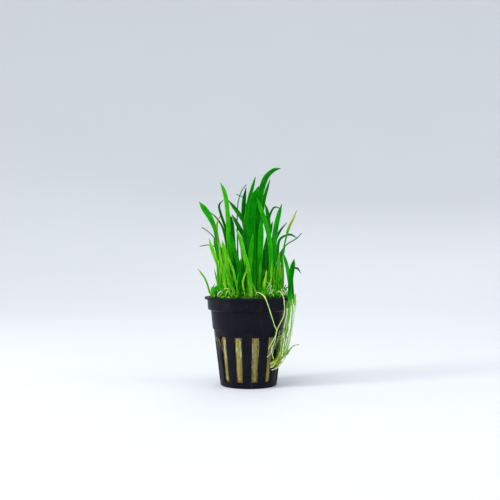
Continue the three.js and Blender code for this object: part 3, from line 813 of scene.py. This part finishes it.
def make_mound():
    foot_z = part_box("undergrowth")[0].z
    shape = bmesh.new()
    bmesh.ops.create_circle(shape, cap_ends=True, segments=MOUND_STEPS, radius=MAT_RADIUS)
    bmesh.ops.translate(shape, vec=UP * foot_z, verts=shape.verts)
    top, edges = extrude_ring(shape, list(shape.edges))
    bmesh.ops.translate(shape, vec=UP * (MAT_EDGE_Z - foot_z), verts=top)
    lid = bmesh.ops.edgeloop_fill(shape, edges=edges)["faces"]
    for _ in range(MOUND_RINGS):
        bmesh.ops.inset_region(shape, faces=lid, thickness=MOUND_RING_WIDTH, depth=0)
    for vert in shape.verts:
        share = 1 - (vert.co.xy.length / MAT_RADIUS) ** 2
        if vert.co.z > MAT_EDGE_Z - 1 * MM:
            vert.co.z += (MAT_TOP_Z - MAT_EDGE_Z) * share + MOUND_LUMPS * rough_at(vert.co, 2.2 * MM)
    return shape


def make_mound_finish():
    finish = Finish("matted_runners")
    place = finish.object_place()
    tangle = finish.noise(place, 0.8 * MM, detail=6, roughness=0.7)
    patches = finish.noise(place, 4 * MM)
    moss = finish.ramp(tangle, MOSS_COLOURS)
    litter = finish.ramp(tangle, LITTER_COLOURS)
    colour = finish.mix(finish.fade(patches, 0.45, 0.62), moss, litter)
    return finish.done(
        Base_Color=colour, Roughness=0.9, Normal=finish.bump(tangle, 0.8 * MM), Specular_IOR_Level=0.2
    )


make_piece("mound", make_mound(), make_mound_finish(), "undergrowth", "undergrowth")

# %% [markdown]
# ## Young leaves
# They stand on a spiral that turns by the golden angle, which spreads any number of things evenly over a
# disc, as a sunflower does with its seeds. The left side of this plant is younger and yellower than the
# rest, so the leaves there are taller and paler. In the middle the long leaves shade them, and there their
# colour is darkened as painted shade. At both edges of the pot, and in front of the widest blade, they stay
# low.

# %% Young leaves
YOUNG_LEAVES = 300
YOUNG_FOOT_Z = 49.5 * MM
YOUNG_SHORTEST = 6 * MM
YOUNG_TALLEST = (15 * MM, 33 * MM)
YOUNG_WIDTHS = (0.8 * MM, 2.0 * MM)
YOUNG_LEFT_REACH = -17.8 * MM
YOUNG_RIGHT_REACH = 19 * MM
YOUNG_SIDE_HEIGHT = 5.5 * MM
BLADE_STRETCH = (-2 * MM, 5.6 * MM)
BLADE_Y = -14 * MM
# Tones of the young leaves across the pot: the pale left is their own younger colour, and the low middle is
# painted shade under the long leaves.
YOUNG_TONE_PLACES = (-22, -10, -5, 4, 9, 22)
YOUNG_TONES_AND_SHADE = (0.92, 0.8, 0.3, 0.28, 0.66, 0.7)
YOUNG_STATIONS = 7
YOUNG_SIDES = 6
GOLDEN_ANGLE = math.pi * (3 - math.sqrt(5))


def between(limits, share):
    return limits[0] + (limits[1] - limits[0]) * share


def grow(shape, add_one, count, seed):
    """Adds that many of a kind. Their source of chance is seeded, so every run gives the same ones."""
    chance = random.Random(seed)
    for number in range(count):
        add_one(shape, number, chance)


def leaf_outline(share):
    """The share of its full width that a young leaf has, from its stalk to its tip."""
    return max(0.1, (0.6 + 0.4 * math.sin(math.pi * min(0.5, share * 0.8))) * (1 - share ** 5) ** 0.55)


def add_strap(shape, places, width, facing, twist, look):
    """A narrow leaf through a few places. look is its tone, age and number."""
    shares = np.linspace(0, 1, YOUNG_STATIONS)
    widths = [width / 2 * leaf_outline(share) for share in shares]
    thicknesses = [between((0.42 * MM, 0.18 * MM), share) for share in shares]
    ways = [outwards(facing + math.radians(90) + twist * share) for share in shares]
    middles = smooth_through(places, YOUNG_STATIONS)
    loft(shape, YOUNG_SIDES, stations_along(middles, ways, widths, thicknesses), look, 0.6)


def add_young_leaf(shape, number, chance):
    spread = math.sqrt((number + 0.5) / YOUNG_LEAVES)
    azimuth = number * GOLDEN_ANGLE
    out = outwards(azimuth)
    foot = out * spread * MAT_RADIUS * 0.97 + UP * YOUNG_FOOT_Z
    leftness = 0.5 - 0.5 * foot.x / MAT_RADIUS
    tallest = between(YOUNG_TALLEST, leftness ** 1.5)
    height = between((YOUNG_SHORTEST, tallest), chance.random() ** 1.2)
    if not YOUNG_LEFT_REACH < foot.x < YOUNG_RIGHT_REACH:
        height = min(height, YOUNG_SIDE_HEIGHT)
    if foot.y < BLADE_Y and BLADE_STRETCH[0] < foot.x < BLADE_STRETCH[1]:
        height = YOUNG_SIDE_HEIGHT / 3
    outward = 0.2 - 0.16 * leftness * abs(out.x)
    lean = (out * spread * outward + Vector((chance.gauss(0, 0.09), chance.gauss(0, 0.09), 0))) * height
    tip = foot + lean + UP * height
    if height > YOUNG_SIDE_HEIGHT:
        tip.x = min(max(tip.x, YOUNG_LEFT_REACH), YOUNG_RIGHT_REACH)
    places = [foot, foot + (tip - foot) * 0.2 + UP * height * 0.35, tip]
    width = between(YOUNG_WIDTHS, chance.random())
    # the tone at this place, with painted shade in the middle
    tone_and_shade = np.interp(foot.x / MM, YOUNG_TONE_PLACES, YOUNG_TONES_AND_SHADE)
    tone = min(1.0, tone_and_shade + chance.uniform(-0.25, 0.2))
    age = 0.5 if number % 15 == 0 else 0.0
    facing = azimuth + chance.gauss(0, 0.8)
    add_strap(shape, places, width, facing, chance.gauss(0, 0.4), (tone, age, number))


young_shape = new_strands()
grow(young_shape, add_young_leaf, YOUNG_LEAVES, seed=5)
make_piece("young_leaves", young_shape, leaf_finish, "undergrowth")

# %% [markdown]
# ## The stalks at the front
# A few pale stalks stand in front of all the rest and catch the eye, so these aren't left to chance. We
# read their places off the photograph, each as a few points in millimetres across and up.

# %% Stalks at the front
FRONT_STALKS = [
    # width, tone, depth, places
    (1.0, 1.0, -20.2, [(-1.5, 50.2), (-2.6, 54.8), (-3.2, 59.2), (-1.7, 63.5), (-1.2, 66)]),
    (1.5, 0.86, -17.8, [(-4.6, 49.5), (-7, 59), (-8.2, 65), (-11, 72), (-12.4, 78)]),
    (1.3, 0.8, -18.4, [(-6.6, 49.5), (-9, 55), (-11.6, 62), (-13.4, 68)]),
    (1.2, 0.9, -17, [(-9, 49.5), (-11.4, 60), (-14.6, 70), (-16.4, 79)]),
    (1.6, 0.84, -14.8, [(-12, 49.5), (-14, 62), (-15.6, 74), (-16.2, 81)]),
    (1.0, 0.75, -10, [(-15.6, 49.5), (-16.8, 56), (-18, 61), (-19, 66)]),
    (0.8, 0.72, -19.4, [(4.4, 50.6), (3.9, 54.3), (2.8, 56.3), (1.5, 59.4), (-0.2, 63.5), (-2.4, 68.4)]),
    (1.2, 0.62, -16.8, [(6, 49.5), (6.2, 60), (6.4, 70)]),
    (1.1, 1.0, -19.4, [(9.2, 50.6), (8.7, 54.3), (8.7, 59.2), (10, 65)]),
    (1.5, 0.72, -16.4, [(11, 49.5), (12.2, 60), (12.9, 70)]),
    (1.2, 0.66, -13.6, [(14.6, 49.5), (15.2, 57), (15.6, 66)]),
    (0.9, 1.0, -11.6, [(16.8, 49.5), (17.3, 58), (17.6, 70)]),
    (1.0, 0.7, -9.4, [(18.6, 49.5), (19.4, 60), (19, 73)]),
    (0.8, 0.8, -17.4, [(7.4, 49.5), (7.6, 56), (8.6, 61)]),
    (0.7, 0.95, -15.6, [(10.2, 49.5), (11.4, 56), (11.9, 63)]),
    (0.8, 1.0, -14.8, [(12.6, 49.5), (13.4, 55), (14.6, 60)]),
    (0.9, 0.86, -12.8, [(15.8, 49.5), (16.4, 55), (16.6, 61)]),
    (0.7, 0.95, -13.8, [(13.8, 49.5), (13.6, 58), (14.2, 67)]),
    (0.6, 1.0, -11, [(17.8, 49.5), (18.4, 56), (19.6, 62)]),
]


def at_depth(seen, depth):
    """Points across and up, set at one depth. All are in millimetres, and the places in metres."""
    return [Vector((x, depth, z)) * MM for x, z in seen]


stalk_shape = new_strands()
for number, (width, tone, depth, seen) in enumerate(FRONT_STALKS):
    add_strap(stalk_shape, at_depth(seen, depth), width * MM, 0, 0.3, (tone, 0.1, number))
make_piece("front_stalks", stalk_shape, leaf_finish, "undergrowth")

# %% [markdown]
# ## Moss and curled leaves at the rim
# Where the light is best, just inside the rim, the plant puts out a fringe of small curled leaves, thick
# as moss on the left and on the right. Each is a short arc of the same loft. They all grow from the mat,
# most of them in two stretches of the rim, with a few all round. In the middle of the front the blades
# come down to the rim, so most of the curled leaves that would grow there go to the back.

# %% Curled leaves
CURLED_LEAVES = 480
CURL_STATIONS = 5
CURL_SIDES = 5
CURL_BEND = 1.9
CURL_FEET_Z = (49.6 * MM, 53.5 * MM)
CURL_LENGTHS = (2.4 * MM, 6.5 * MM)
CURL_REACH = 22.4 * MM
RIM_INNER_RADIUS = 20.6 * MM
RIM_TOP_Z = 50.4 * MM
MOSSY_RIGHT_SHARE = 0.36
MOSSY_STRETCHES = ((math.radians(-38), math.radians(30)), (math.radians(38), math.radians(20)))
BARE_STRETCH = (math.radians(-18), math.radians(19))


def arc_places(foot, way, length, bend):
    """Places along an arc that starts at foot, heads along way and curls towards bend."""
    places = [foot.copy()]
    heading = way.normalized()
    steps = CURL_STATIONS - 1
    for _ in range(steps):
        places.append(places[-1] + heading * length / steps)
        heading = (heading + bend / steps).normalized()
    return places


def over_rim(place):
    """The nearest place that is not in the rim, nor far beyond it, nor beyond its inside on the left."""
    reach = min(place.xy.length, CURL_REACH)
    least = RIM_TOP_Z if reach > RIM_INNER_RADIUS else 0.0
    inside = place.xy.normalized() * reach
    return Vector((max(inside.x, -RIM_INNER_RADIUS), inside.y, max(place.z, least)))


def some_way(chance, upwards=0.0):
    return Vector((chance.gauss(0, 1), chance.gauss(0, 1), chance.gauss(0, 1) + upwards)).normalized()


def add_curled_leaf(shape, number, chance):
    if number % 4:
        middle, spread = MOSSY_STRETCHES[chance.random() < MOSSY_RIGHT_SHARE]
        azimuth = chance.gauss(middle, spread)
    else:
        azimuth = chance.uniform(-math.pi, math.pi)
    if BARE_STRETCH[0] < azimuth < BARE_STRETCH[1] and number % 7:
        azimuth += math.pi
    radius = MAT_RADIUS * (1 - 0.35 * chance.random() ** 1.5)
    foot = outwards(azimuth) * radius + UP * chance.uniform(*CURL_FEET_Z)
    way = outwards(azimuth) * 0.25 + some_way(chance, 1.0)
    length = chance.uniform(*CURL_LENGTHS)
    arc = arc_places(foot, way, length, some_way(chance, -0.6) * CURL_BEND)
    places = [over_rim(place) for place in arc]
    half = chance.uniform(0.3, 0.75) * MM
    shares = np.linspace(0, 1, CURL_STATIONS)
    widths = [half * leaf_outline(share) for share in shares]
    stations = stations_along(places, [some_way(chance)], widths, [0.16 * MM] * CURL_STATIONS)
    loft(shape, CURL_SIDES, stations, (chance.uniform(0.25, 0.98), 0.6 * (number % 14 == 0), number))


curled_shape = new_strands()
grow(curled_shape, add_curled_leaf, CURLED_LEAVES, seed=11)
make_piece("curled_leaves", curled_shape, leaf_finish, "undergrowth")

# %% [markdown]
# ## Pale roots and runners
# Away from the light the plant makes no green. Its roots are the width of a thread, nearly white and a
# little glassy, and its runners are thicker, pale green and jointed. One finish does for all of them: the
# tone of each strand moves its colour from white through green and olive to the grey of old roots. The
# green ones turn olive towards their far ends.

# %% Finish of the roots
ROOT_COLOURS = [
    (0.0, (0.84, 0.95, 0.66)),
    (0.3, (0.46, 0.7, 0.16)),
    (0.58, (0.14, 0.5, 0.03)),
    (0.75, (0.42, 0.52, 0.04)),
    (0.88, (0.26, 0.18, 0.05)),
    (1.0, (0.24, 0.21, 0.17)),
]
DIRT_BROWN = (0.13, 0.1, 0.045)


def make_root_finish():
    finish = Finish("pale_root")
    across, along, share = finish.attribute("place")
    tone, age, number = finish.attribute("tone")
    cloudy = finish.noise(finish.object_place(), 4 * MM, detail=4)
    ways = finish.vector(finish.times(across, 2.0), finish.times(along, 0.25), number)
    streaks = finish.noise(ways, 1.0, detail=3)
    older = finish.times(finish.fade(share, 0.5, 0.9), finish.fade(tone, 0.35, 0.55), 0.2)
    # partly painted highlight: the cloudy shift of tone moves patches of each strand towards white, for the
    # glint of wet roots, and is partly their own uneven colour
    colour = finish.ramp(finish.plus(tone, finish.centred(cloudy, 0.26), older), ROOT_COLOURS)
    dirt = finish.times(finish.fade(streaks, 0.55, 0.8), finish.plus(age, 0.2))
    colour = finish.mix(dirt, colour, DIRT_BROWN)
    return finish.done(
        Base_Color=colour,
        Roughness=finish.plus(0.35, finish.times(cloudy, 0.3)),
        Normal=finish.bump(streaks, 0.08 * MM),
        Specular_IOR_Level=0.35,
        Subsurface_Weight=0.25,
        Subsurface_Radius=(1.0, 1.0, 0.5),
        Subsurface_Scale=0.6 * MM,
    )


root_finish = make_root_finish()

# %% [markdown]
# ## The runner and the roots over the rim
# Their solids are tubes with five sides. We read each one's middle line and radius from its rings, draw
# the line finely, and let it wander and thicken a little. Nothing may dip into the pot, so a place that
# comes too close to the wall is pushed out. Blender's noise vector starts from the clock unless it is
# given a seed, so it gets one here, and every run wanders the same way.

# %% The strands that have solids
STRAND_SIDES = 8
STRAND_STATIONS = 46
STRAND_WANDER = 0.15 * MM
WANDER_SEED = 1
UNEVENNESS = 0.3
SKEW = Vector((0.3, 0.5, 0.7))
POT_TOP_Z = 50 * MM
WALL_CLEARANCE = 0.1 * MM
MOUTH_Z = 46 * MM
STRANDS = {
    "runner": ("runner_stem", 0.55, 0.92),
    "root_front": ("root_front_pale", 0.24, 0.6),
    "root_crossing": ("root_crossing_pale", 0.24, 0.62),
    "root_outer": ("root_outer_pale", 0.05, 0.62),
    "root_side": ("root_side_pale", 0.56, 0.7),
}


def outside_pot(place, radius):
    """The place itself, or the nearest one where a strand of that radius clears the wall."""
    now = place.xy.length
    in_mouth = place.z > MOUTH_Z and now < MAT_RADIUS
    least = wall_radius(place.z) + radius + WALL_CLEARANCE if 0 < place.z < POT_TOP_Z else 0.0
    return place.copy() if in_mouth or now >= least else Vector((*(place.xy * least / now), place.z))


noise.seed_set(WANDER_SEED)


def wander(place, size, number):
    """A small smooth shift that depends on where a place is."""
    return noise.noise_vector(place / size + Vector((number * 7.3, 0, 0)))


def read_strand(node):
    rings = read_rings(node, from_top=node != "root_side")
    rows = []
    for ring in rings:
        middle = middle_of(ring)
        rows.append([*middle, sum((place - middle).length for place, _ in ring) / len(ring)])
    return np.array(rows)


def add_strand(shape, sides, places, radii, tone):
    """A round strand through the places, with one radius or one for each place."""
    radii = np.broadcast_to(radii, len(places))
    across = (places[1] - places[0]).cross(SKEW)
    stations = stations_along(places, [across], radii, radii)
    loft(shape, sides, [*reversed(rounded(stations[0], -1)), *stations, *rounded(stations[-1], 1)], tone)


def make_strand(node, number):
    name, tone, share = STRANDS[node]
    places, radii = [], []
    for *place, radius in smooth_through(read_strand(node), STRAND_STATIONS):
        place = Vector(place)
        radius *= share * (1 + UNEVENNESS * rough_at(place, 3 * MM))
        places.append(outside_pot(place + wander(place, 6 * MM, number) * STRAND_WANDER, radius))
        radii.append(radius)
    shape = new_strands()
    add_strand(shape, STRAND_SIDES, places, radii, (tone, 0.2, number))
    make_piece(name, shape, root_finish, "root", node)


for number, node in enumerate(STRANDS):
    make_strand(node, number)

# %% [markdown]
# ## The bundle beside the runner
# Twenty finer roots hang from the young shoot beside the runner, some white and some green. They fan
# out like the strings of a mop: side by side past the wall, then bent round the foot of the pot to the
# front. Their places across and up are read from the photograph, and how far each hangs in front gives
# the third. Near the foot others join them in long flat arcs that hug the wall.

# %% The bundle of fine roots
BUNDLE_ROOTS = [
    # radius, tone, depth, places
    (0.42, 0.02, 13.2, [(21.2, 44), (21, 41.4), (20.4, 38.5), (20, 36), (19.3, 31.8), (18.9, 28)]),
    (0.42, 0.02, 13.8, [(23.4, 42), (23.2, 39.4), (22.6, 36.3), (22.2, 32.9), (21.5, 29.3), (20.6, 25)]),
    (0.34, 0.12, 13.2, [(23.3, 47.4), (23.5, 44), (23.4, 40.3), (22.6, 31), (21.6, 25.6), (20, 20)]),
    (0.34, 0.1, 12, [(25.6, 46.6), (25.3, 43), (24.9, 40.2), (24.6, 36.8), (23.8, 32), (22.8, 27)]),
    (0.4, 0.5, 11.6, [(24.2, 46.5), (24.5, 42.7), (24.2, 40.2), (23.7, 34.5), (22.8, 29), (21.6, 24)]),
    (0.4, 0.6, 12, [(21.2, 47.6), (20.9, 45), (20.6, 42.8), (20.2, 38), (19.4, 33), (18.8, 29)]),
    (0.36, 0.66, 13.6, [(19.4, 33), (18.4, 29), (18, 26.3), (17.7, 22), (17.2, 17.8), (15, 14.6)]),
    (0.3, 0.04, 14.2, [(19.9, 27.4), (19.1, 23.5), (18.7, 20.6), (18.3, 18)]),
    (0.44, 0.62, 12.8, [(21.1, 29), (21.6, 26.2), (21, 21.3), (20, 18.3), (16.6, 14.4), (13, 13.6)]),
    (0.36, 0.6, 11.6, [(22.6, 32), (22, 26), (20.8, 21), (19, 17), (16, 14.6), (12.6, 13.8)]),
    (0.38, 0.5, 12.2, [(21.6, 47), (21.6, 44), (21.2, 40), (20.5, 36), (19.9, 32)]),
    (0.4, 0.6, 12, [(19.6, 32), (19, 26), (18.4, 21.5), (17.6, 18), (15.4, 15.4)]),
    (0.36, 0.62, 12.4, [(20.7, 31), (20.2, 26), (19.6, 22), (18.6, 18.6), (16.4, 15.8)]),
    (0.34, 0.56, 13, [(20.2, 29), (19.6, 24), (19, 20.6), (17.4, 17)]),
    (0.4, 0.64, 11.8, [(21.6, 28), (20.8, 22.6), (19.8, 19.4), (18, 16.6), (14.6, 14.6)]),
    (0.4, 0.55, 11, [(21.8, 34), (20.6, 27), (19.2, 21), (17, 16.6), (13.6, 14.6)]),
    (0.4, 0.46, 10.4, [(23, 46), (22.6, 40), (21.6, 33.3), (20.4, 27), (18.8, 21), (16, 16.6), (13, 15)]),
    (0.24, 0.74, 14.4, [(16.6, 28.8), (18.4, 29.2), (20.4, 29), (21.6, 28.2)]),
    (0.34, 0.66, 11.4, [(13.4, 14.6), (16.6, 15.4), (19.4, 17), (21.2, 18.6), (22.4, 20.8)]),
    (0.26, 0.34, 13, [(22, 44), (21.3, 38), (20.6, 33), (19.8, 28), (18.8, 23), (17.4, 18.4), (14.6, 15)]),
]
BUNDLE_STATIONS = 34
BUNDLE_GAP = 0.8 * MM
BUNDLE_STRAY = 0.35 * MM
BUNDLE_TAPER = 0.3
FOOT_ROOTS = 26
FOOT_ROOT_STATIONS = 14
FOOT_ROOT_GAP = 0.4 * MM


def in_front(x, z, gap, depth=0.0):
    """The place at x and z, in metres, that far off the wall, or further out at its own depth."""
    wall = (wall_radius(z) + gap) ** 2 - x ** 2
    return Vector((x, -max(depth, math.sqrt(max(wall, 0.0))), z))


def round_wall(azimuth, height, gap):
    """The place at that azimuth and height, that far off the wall."""
    return outwards(azimuth) * (wall_radius(height) + gap) + UP * height


def add_bundle_root(shape, number, radius, tone, depth, seen):
    places, radii = [], []
    for i, (x, z) in enumerate(smooth_through(seen, BUNDLE_STATIONS) * MM):
        place = in_front(x, z, BUNDLE_GAP, depth * MM)
        stray = wander(place, 7 * MM, number + 20) * BUNDLE_STRAY
        places.append(outside_pot(place + stray, radius * MM))
        taper = 1 - BUNDLE_TAPER * i / BUNDLE_STATIONS
        radii.append(radius * MM * taper * (1 + UNEVENNESS * rough_at(place, 2 * MM)))
    add_strand(shape, 6, places, radii, (tone, 0.1, number))


def add_foot_root(shape, number, chance):
    """A root that runs flat round the foot of the pot."""
    start, turn = math.radians(chance.uniform(58, 80)), math.radians(chance.uniform(14, 26))
    top, foot = chance.uniform(13, 23), chance.uniform(11, 15)
    gap, phase = chance.uniform(0.3, 2.6) * MM, chance.uniform(0, math.tau)
    places = []
    for share in np.linspace(0, 1, FOOT_ROOT_STATIONS):
        ripple = 0.5 * math.sin(4 * share + phase)
        height = (between((top, foot), math.sin(share * math.pi / 2)) + ripple) * MM
        places.append(round_wall(start - turn * share, height, FOOT_ROOT_GAP + gap))
    radius = chance.uniform(0.16, 0.34) * MM
    add_strand(shape, 5, places, radius, (chance.choice((0.2, 0.52, 0.56, 0.62)), 0.1, number))


bundle_shape = new_strands()
for number, row in enumerate(BUNDLE_ROOTS):
    add_bundle_root(bundle_shape, number, *row)
grow(bundle_shape, add_foot_root, FOOT_ROOTS, seed=23)
make_piece("root_bundle", bundle_shape, root_finish, "root")

# %% [markdown]
# ## Stray roots on the wall
# A few thin roots stray over the lower wall on their own. The ones on the right are placed one by one from
# the photograph, as points across and up, and each point is then laid on the wall. On the far left, grey
# ones creep out of a slot and down its bar, so there chance may place them.

# %% Stray roots
STRAY_ROOTS = [
    # radius, tone, places
    (0.2, 0.02, [(13, 24), (12.7, 22.3), (12.5, 20.6), (11.6, 18.8), (10.2, 17.6)]),
    (0.2, 1.0, [(16, 23.8), (14.6, 22.2), (13.2, 21.3)]),
    (0.22, 0.98, [(13.9, 23), (15.4, 21.6), (17.2, 19.6)]),
    (0.2, 0.96, [(11.1, 18.4), (11.4, 16.3), (12.3, 13.8)]),
    (0.17, 0.12, [(16.4, 26.2), (17.4, 26.8), (18.4, 27)]),
    (0.24, 0.5, [(17.2, 31.4), (16.6, 28.6), (15.6, 26), (14.4, 23.8)]),
    (0.16, 0.3, [(16.8, 28.4), (16, 25.4), (14.2, 22.6), (13.4, 19)]),
    (0.18, 0.7, [(13.2, 17.2), (14.2, 14.6), (15.6, 12.6)]),
]
STRAY_GAP = 0.35 * MM
BAR_ROOTS = 15
BAR_ROOT_STATIONS = 8
BAR_ROOT_GAP = 0.12 * MM


def add_bar_root(shape, number, chance):
    """A grey root that creeps down the bar on the far left."""
    azimuth, drift = math.radians(chance.uniform(-76, -56)), math.radians(chance.uniform(-9, 9))
    top, length = chance.uniform(10, 28.2), chance.uniform(4, 13)
    places = []
    for share in np.linspace(0, 1, BAR_ROOT_STATIONS):
        height = max(top - length * share, 1) * MM
        turn = azimuth + drift * share + 0.03 * math.sin(5 * share + number)
        places.append(round_wall(turn, height, BAR_ROOT_GAP))
    radius = chance.uniform(0.12, 0.26) * MM
    add_strand(shape, 5, places, radius, (chance.choice((0.94, 1.0, 1.0)), 0.3, number))


stray_shape = new_strands()
for number, (radius, tone, seen) in enumerate(STRAY_ROOTS):
    rows = smooth_through(seen, 4 * len(seen)) * MM
    places = [in_front(x, z, STRAY_GAP + radius * MM) for x, z in rows]
    add_strand(stray_shape, 6, places, radius * MM, (tone, 0.2, number))
grow(stray_shape, add_bar_root, BAR_ROOTS, seed=53)
make_piece("stray_roots", stray_shape, root_finish, "root")

# %% [markdown]
# ## Runners on the mat
# Pale runners arch over the mat and dive back into it, most of them close to the rim. Each starts on the
# mat, rises a few millimetres and comes down again a little further round. A few near the rim show as
# white knots, pale runners whose colour is lifted partly as painted highlight, and those are placed from
# the photograph.

# %% Runners on the mat
MAT_RUNNERS = 44
RUNNER_STATIONS = 14
RUNNER_FOOT_Z = 49.4 * MM
# The knots' pale tones are partly the runners' own colour and partly painted highlight.
KNOTS = [
    # radius, tone, depth, places
    (0.24, 0.2, -18.4, [(9.8, 52), (10.2, 54.4), (11.4, 55), (12.8, 53.8), (12.2, 52.2), (11, 51.6)]),
    (0.22, 0.34, -18.8, [(9.4, 53.4), (10.8, 52.6), (12.4, 54.4), (13.4, 54)]),
    (0.26, 0.3, -18.6, [(10.4, 51.4), (11.4, 53.4), (12.6, 52.6), (13.2, 51.2)]),
    (0.2, 0.1, -17.8, [(10.2, 56.4), (11.2, 57.6), (12.4, 56.6), (12, 55.2), (10.8, 54.8)]),
    (0.2, 0.26, -17.4, [(9.6, 59.4), (10.6, 58.2), (11.6, 58.8), (12.6, 60.2)]),
    (0.24, 0.4, -18, [(11.4, 51.6), (11, 55), (11.8, 58.6)]),
    (0.26, 0.02, -14, [(17.9, 54.9), (18.8, 53.6), (19.8, 51.9)]),
    (0.2, 0.05, -14.4, [(19.4, 55), (20.2, 53.6), (20.8, 52)]),
    (0.22, 0.58, -14.2, [(16.8, 54), (18, 52.6), (19, 51.2)]),
    (0.24, 0.62, -13.6, [(17.6, 56), (19, 55), (20.2, 53.4), (20.9, 52)]),
    (0.24, 0.04, -14.6, [(-16.8, 51.8), (-15.8, 53.4), (-14.6, 53.2), (-13.8, 51.8)]),
    (0.2, 0.2, -16.6, [(-12.6, 51.6), (-11.8, 53.2), (-10.6, 52.8), (-10, 51.4)]),
]
KNOT_WANDER = 0.8 * MM
RUNNER_WANDER = 0.6 * MM


def add_mat_runner(shape, number, chance):
    azimuth = chance.gauss(*MOSSY_STRETCHES[number % 3 == 0])
    if number % 4 == 0 or BARE_STRETCH[0] < azimuth < BARE_STRETCH[1]:
        azimuth = chance.uniform(0.6, math.tau - 0.6)
    turn = chance.uniform(0.2, 0.7) * chance.choice((-1, 1))
    start = outwards(azimuth) * chance.uniform(0.6, 1.0) * MAT_RADIUS + UP * RUNNER_FOOT_Z
    end = outwards(azimuth + turn) * chance.uniform(0.7, 1.0) * MAT_RADIUS + UP * RUNNER_FOOT_Z
    crown = (start + end) / 2 * chance.uniform(0.95, 1.06) + UP * chance.uniform(1.6, 4.4) * MM
    places = [Vector(row) for row in smooth_through([start, crown, end], RUNNER_STATIONS)]
    places = [place + wander(place, 5 * MM, number) * RUNNER_WANDER for place in places]
    radius = chance.uniform(0.18, 0.36) * MM
    add_strand(shape, 6, places, radius, (chance.uniform(0.0, 0.5), chance.random() * 0.6, number))


runner_shape = new_strands()
grow(runner_shape, add_mat_runner, MAT_RUNNERS, seed=31)
for number, (radius, tone, depth, seen) in enumerate(KNOTS):
    places = at_depth(smooth_through(seen, 4 * len(seen)), depth)
    places = [place + wander(place, 1.6 * MM, number) * KNOT_WANDER for place in places]
    add_strand(runner_shape, 6, places, radius * MM, (tone, 0.1, number))
make_piece("mat_runners", runner_shape, root_finish, "undergrowth")

# %% [markdown]
# ## Roots in the slots
# Behind every slot the wool is grown through with fine grey and brown roots, which run mostly downwards
# and press against the bars. They lie in the thin space between the wool and the outside of the pot.

# %% Roots in the slots
ROOTS_PER_SLOT = 13
SLOT_ROOT_STATIONS = 9


def add_slot_root(shape, number, chance):
    slot_number = number // ROOTS_PER_SLOT
    azimuth = FIRST_SLOT + slot_number * math.tau / SLOTS + chance.uniform(-0.5, 0.5) * SLOT_ARC
    top, foot = sorted((chance.uniform(2, 30), chance.uniform(2, 30)), reverse=True)
    radius = chance.uniform(0.09, 0.24) * MM
    lean, phase = chance.uniform(-0.5, 0.5) * SLOT_ARC, chance.uniform(0, math.tau)
    depth = chance.uniform(0.15, 0.75) * MM
    places = []
    for share in np.linspace(0, 1, SLOT_ROOT_STATIONS):
        height = between((top, foot), share) * MM
        turn = azimuth + lean * share + 0.02 * math.sin(7 * share + phase)
        places.append(round_wall(turn, height, -depth))
    tone = chance.choice((0.1, 0.75, 0.84, 0.95, 1.0, 1.0))
    add_strand(shape, 5, places, radius, (tone, 0.8, slot_number))


slot_root_shape = new_strands()
grow(slot_root_shape, add_slot_root, SLOTS * ROOTS_PER_SLOT, seed=41)
make_piece("slot_roots", slot_root_shape, root_finish, "wool")
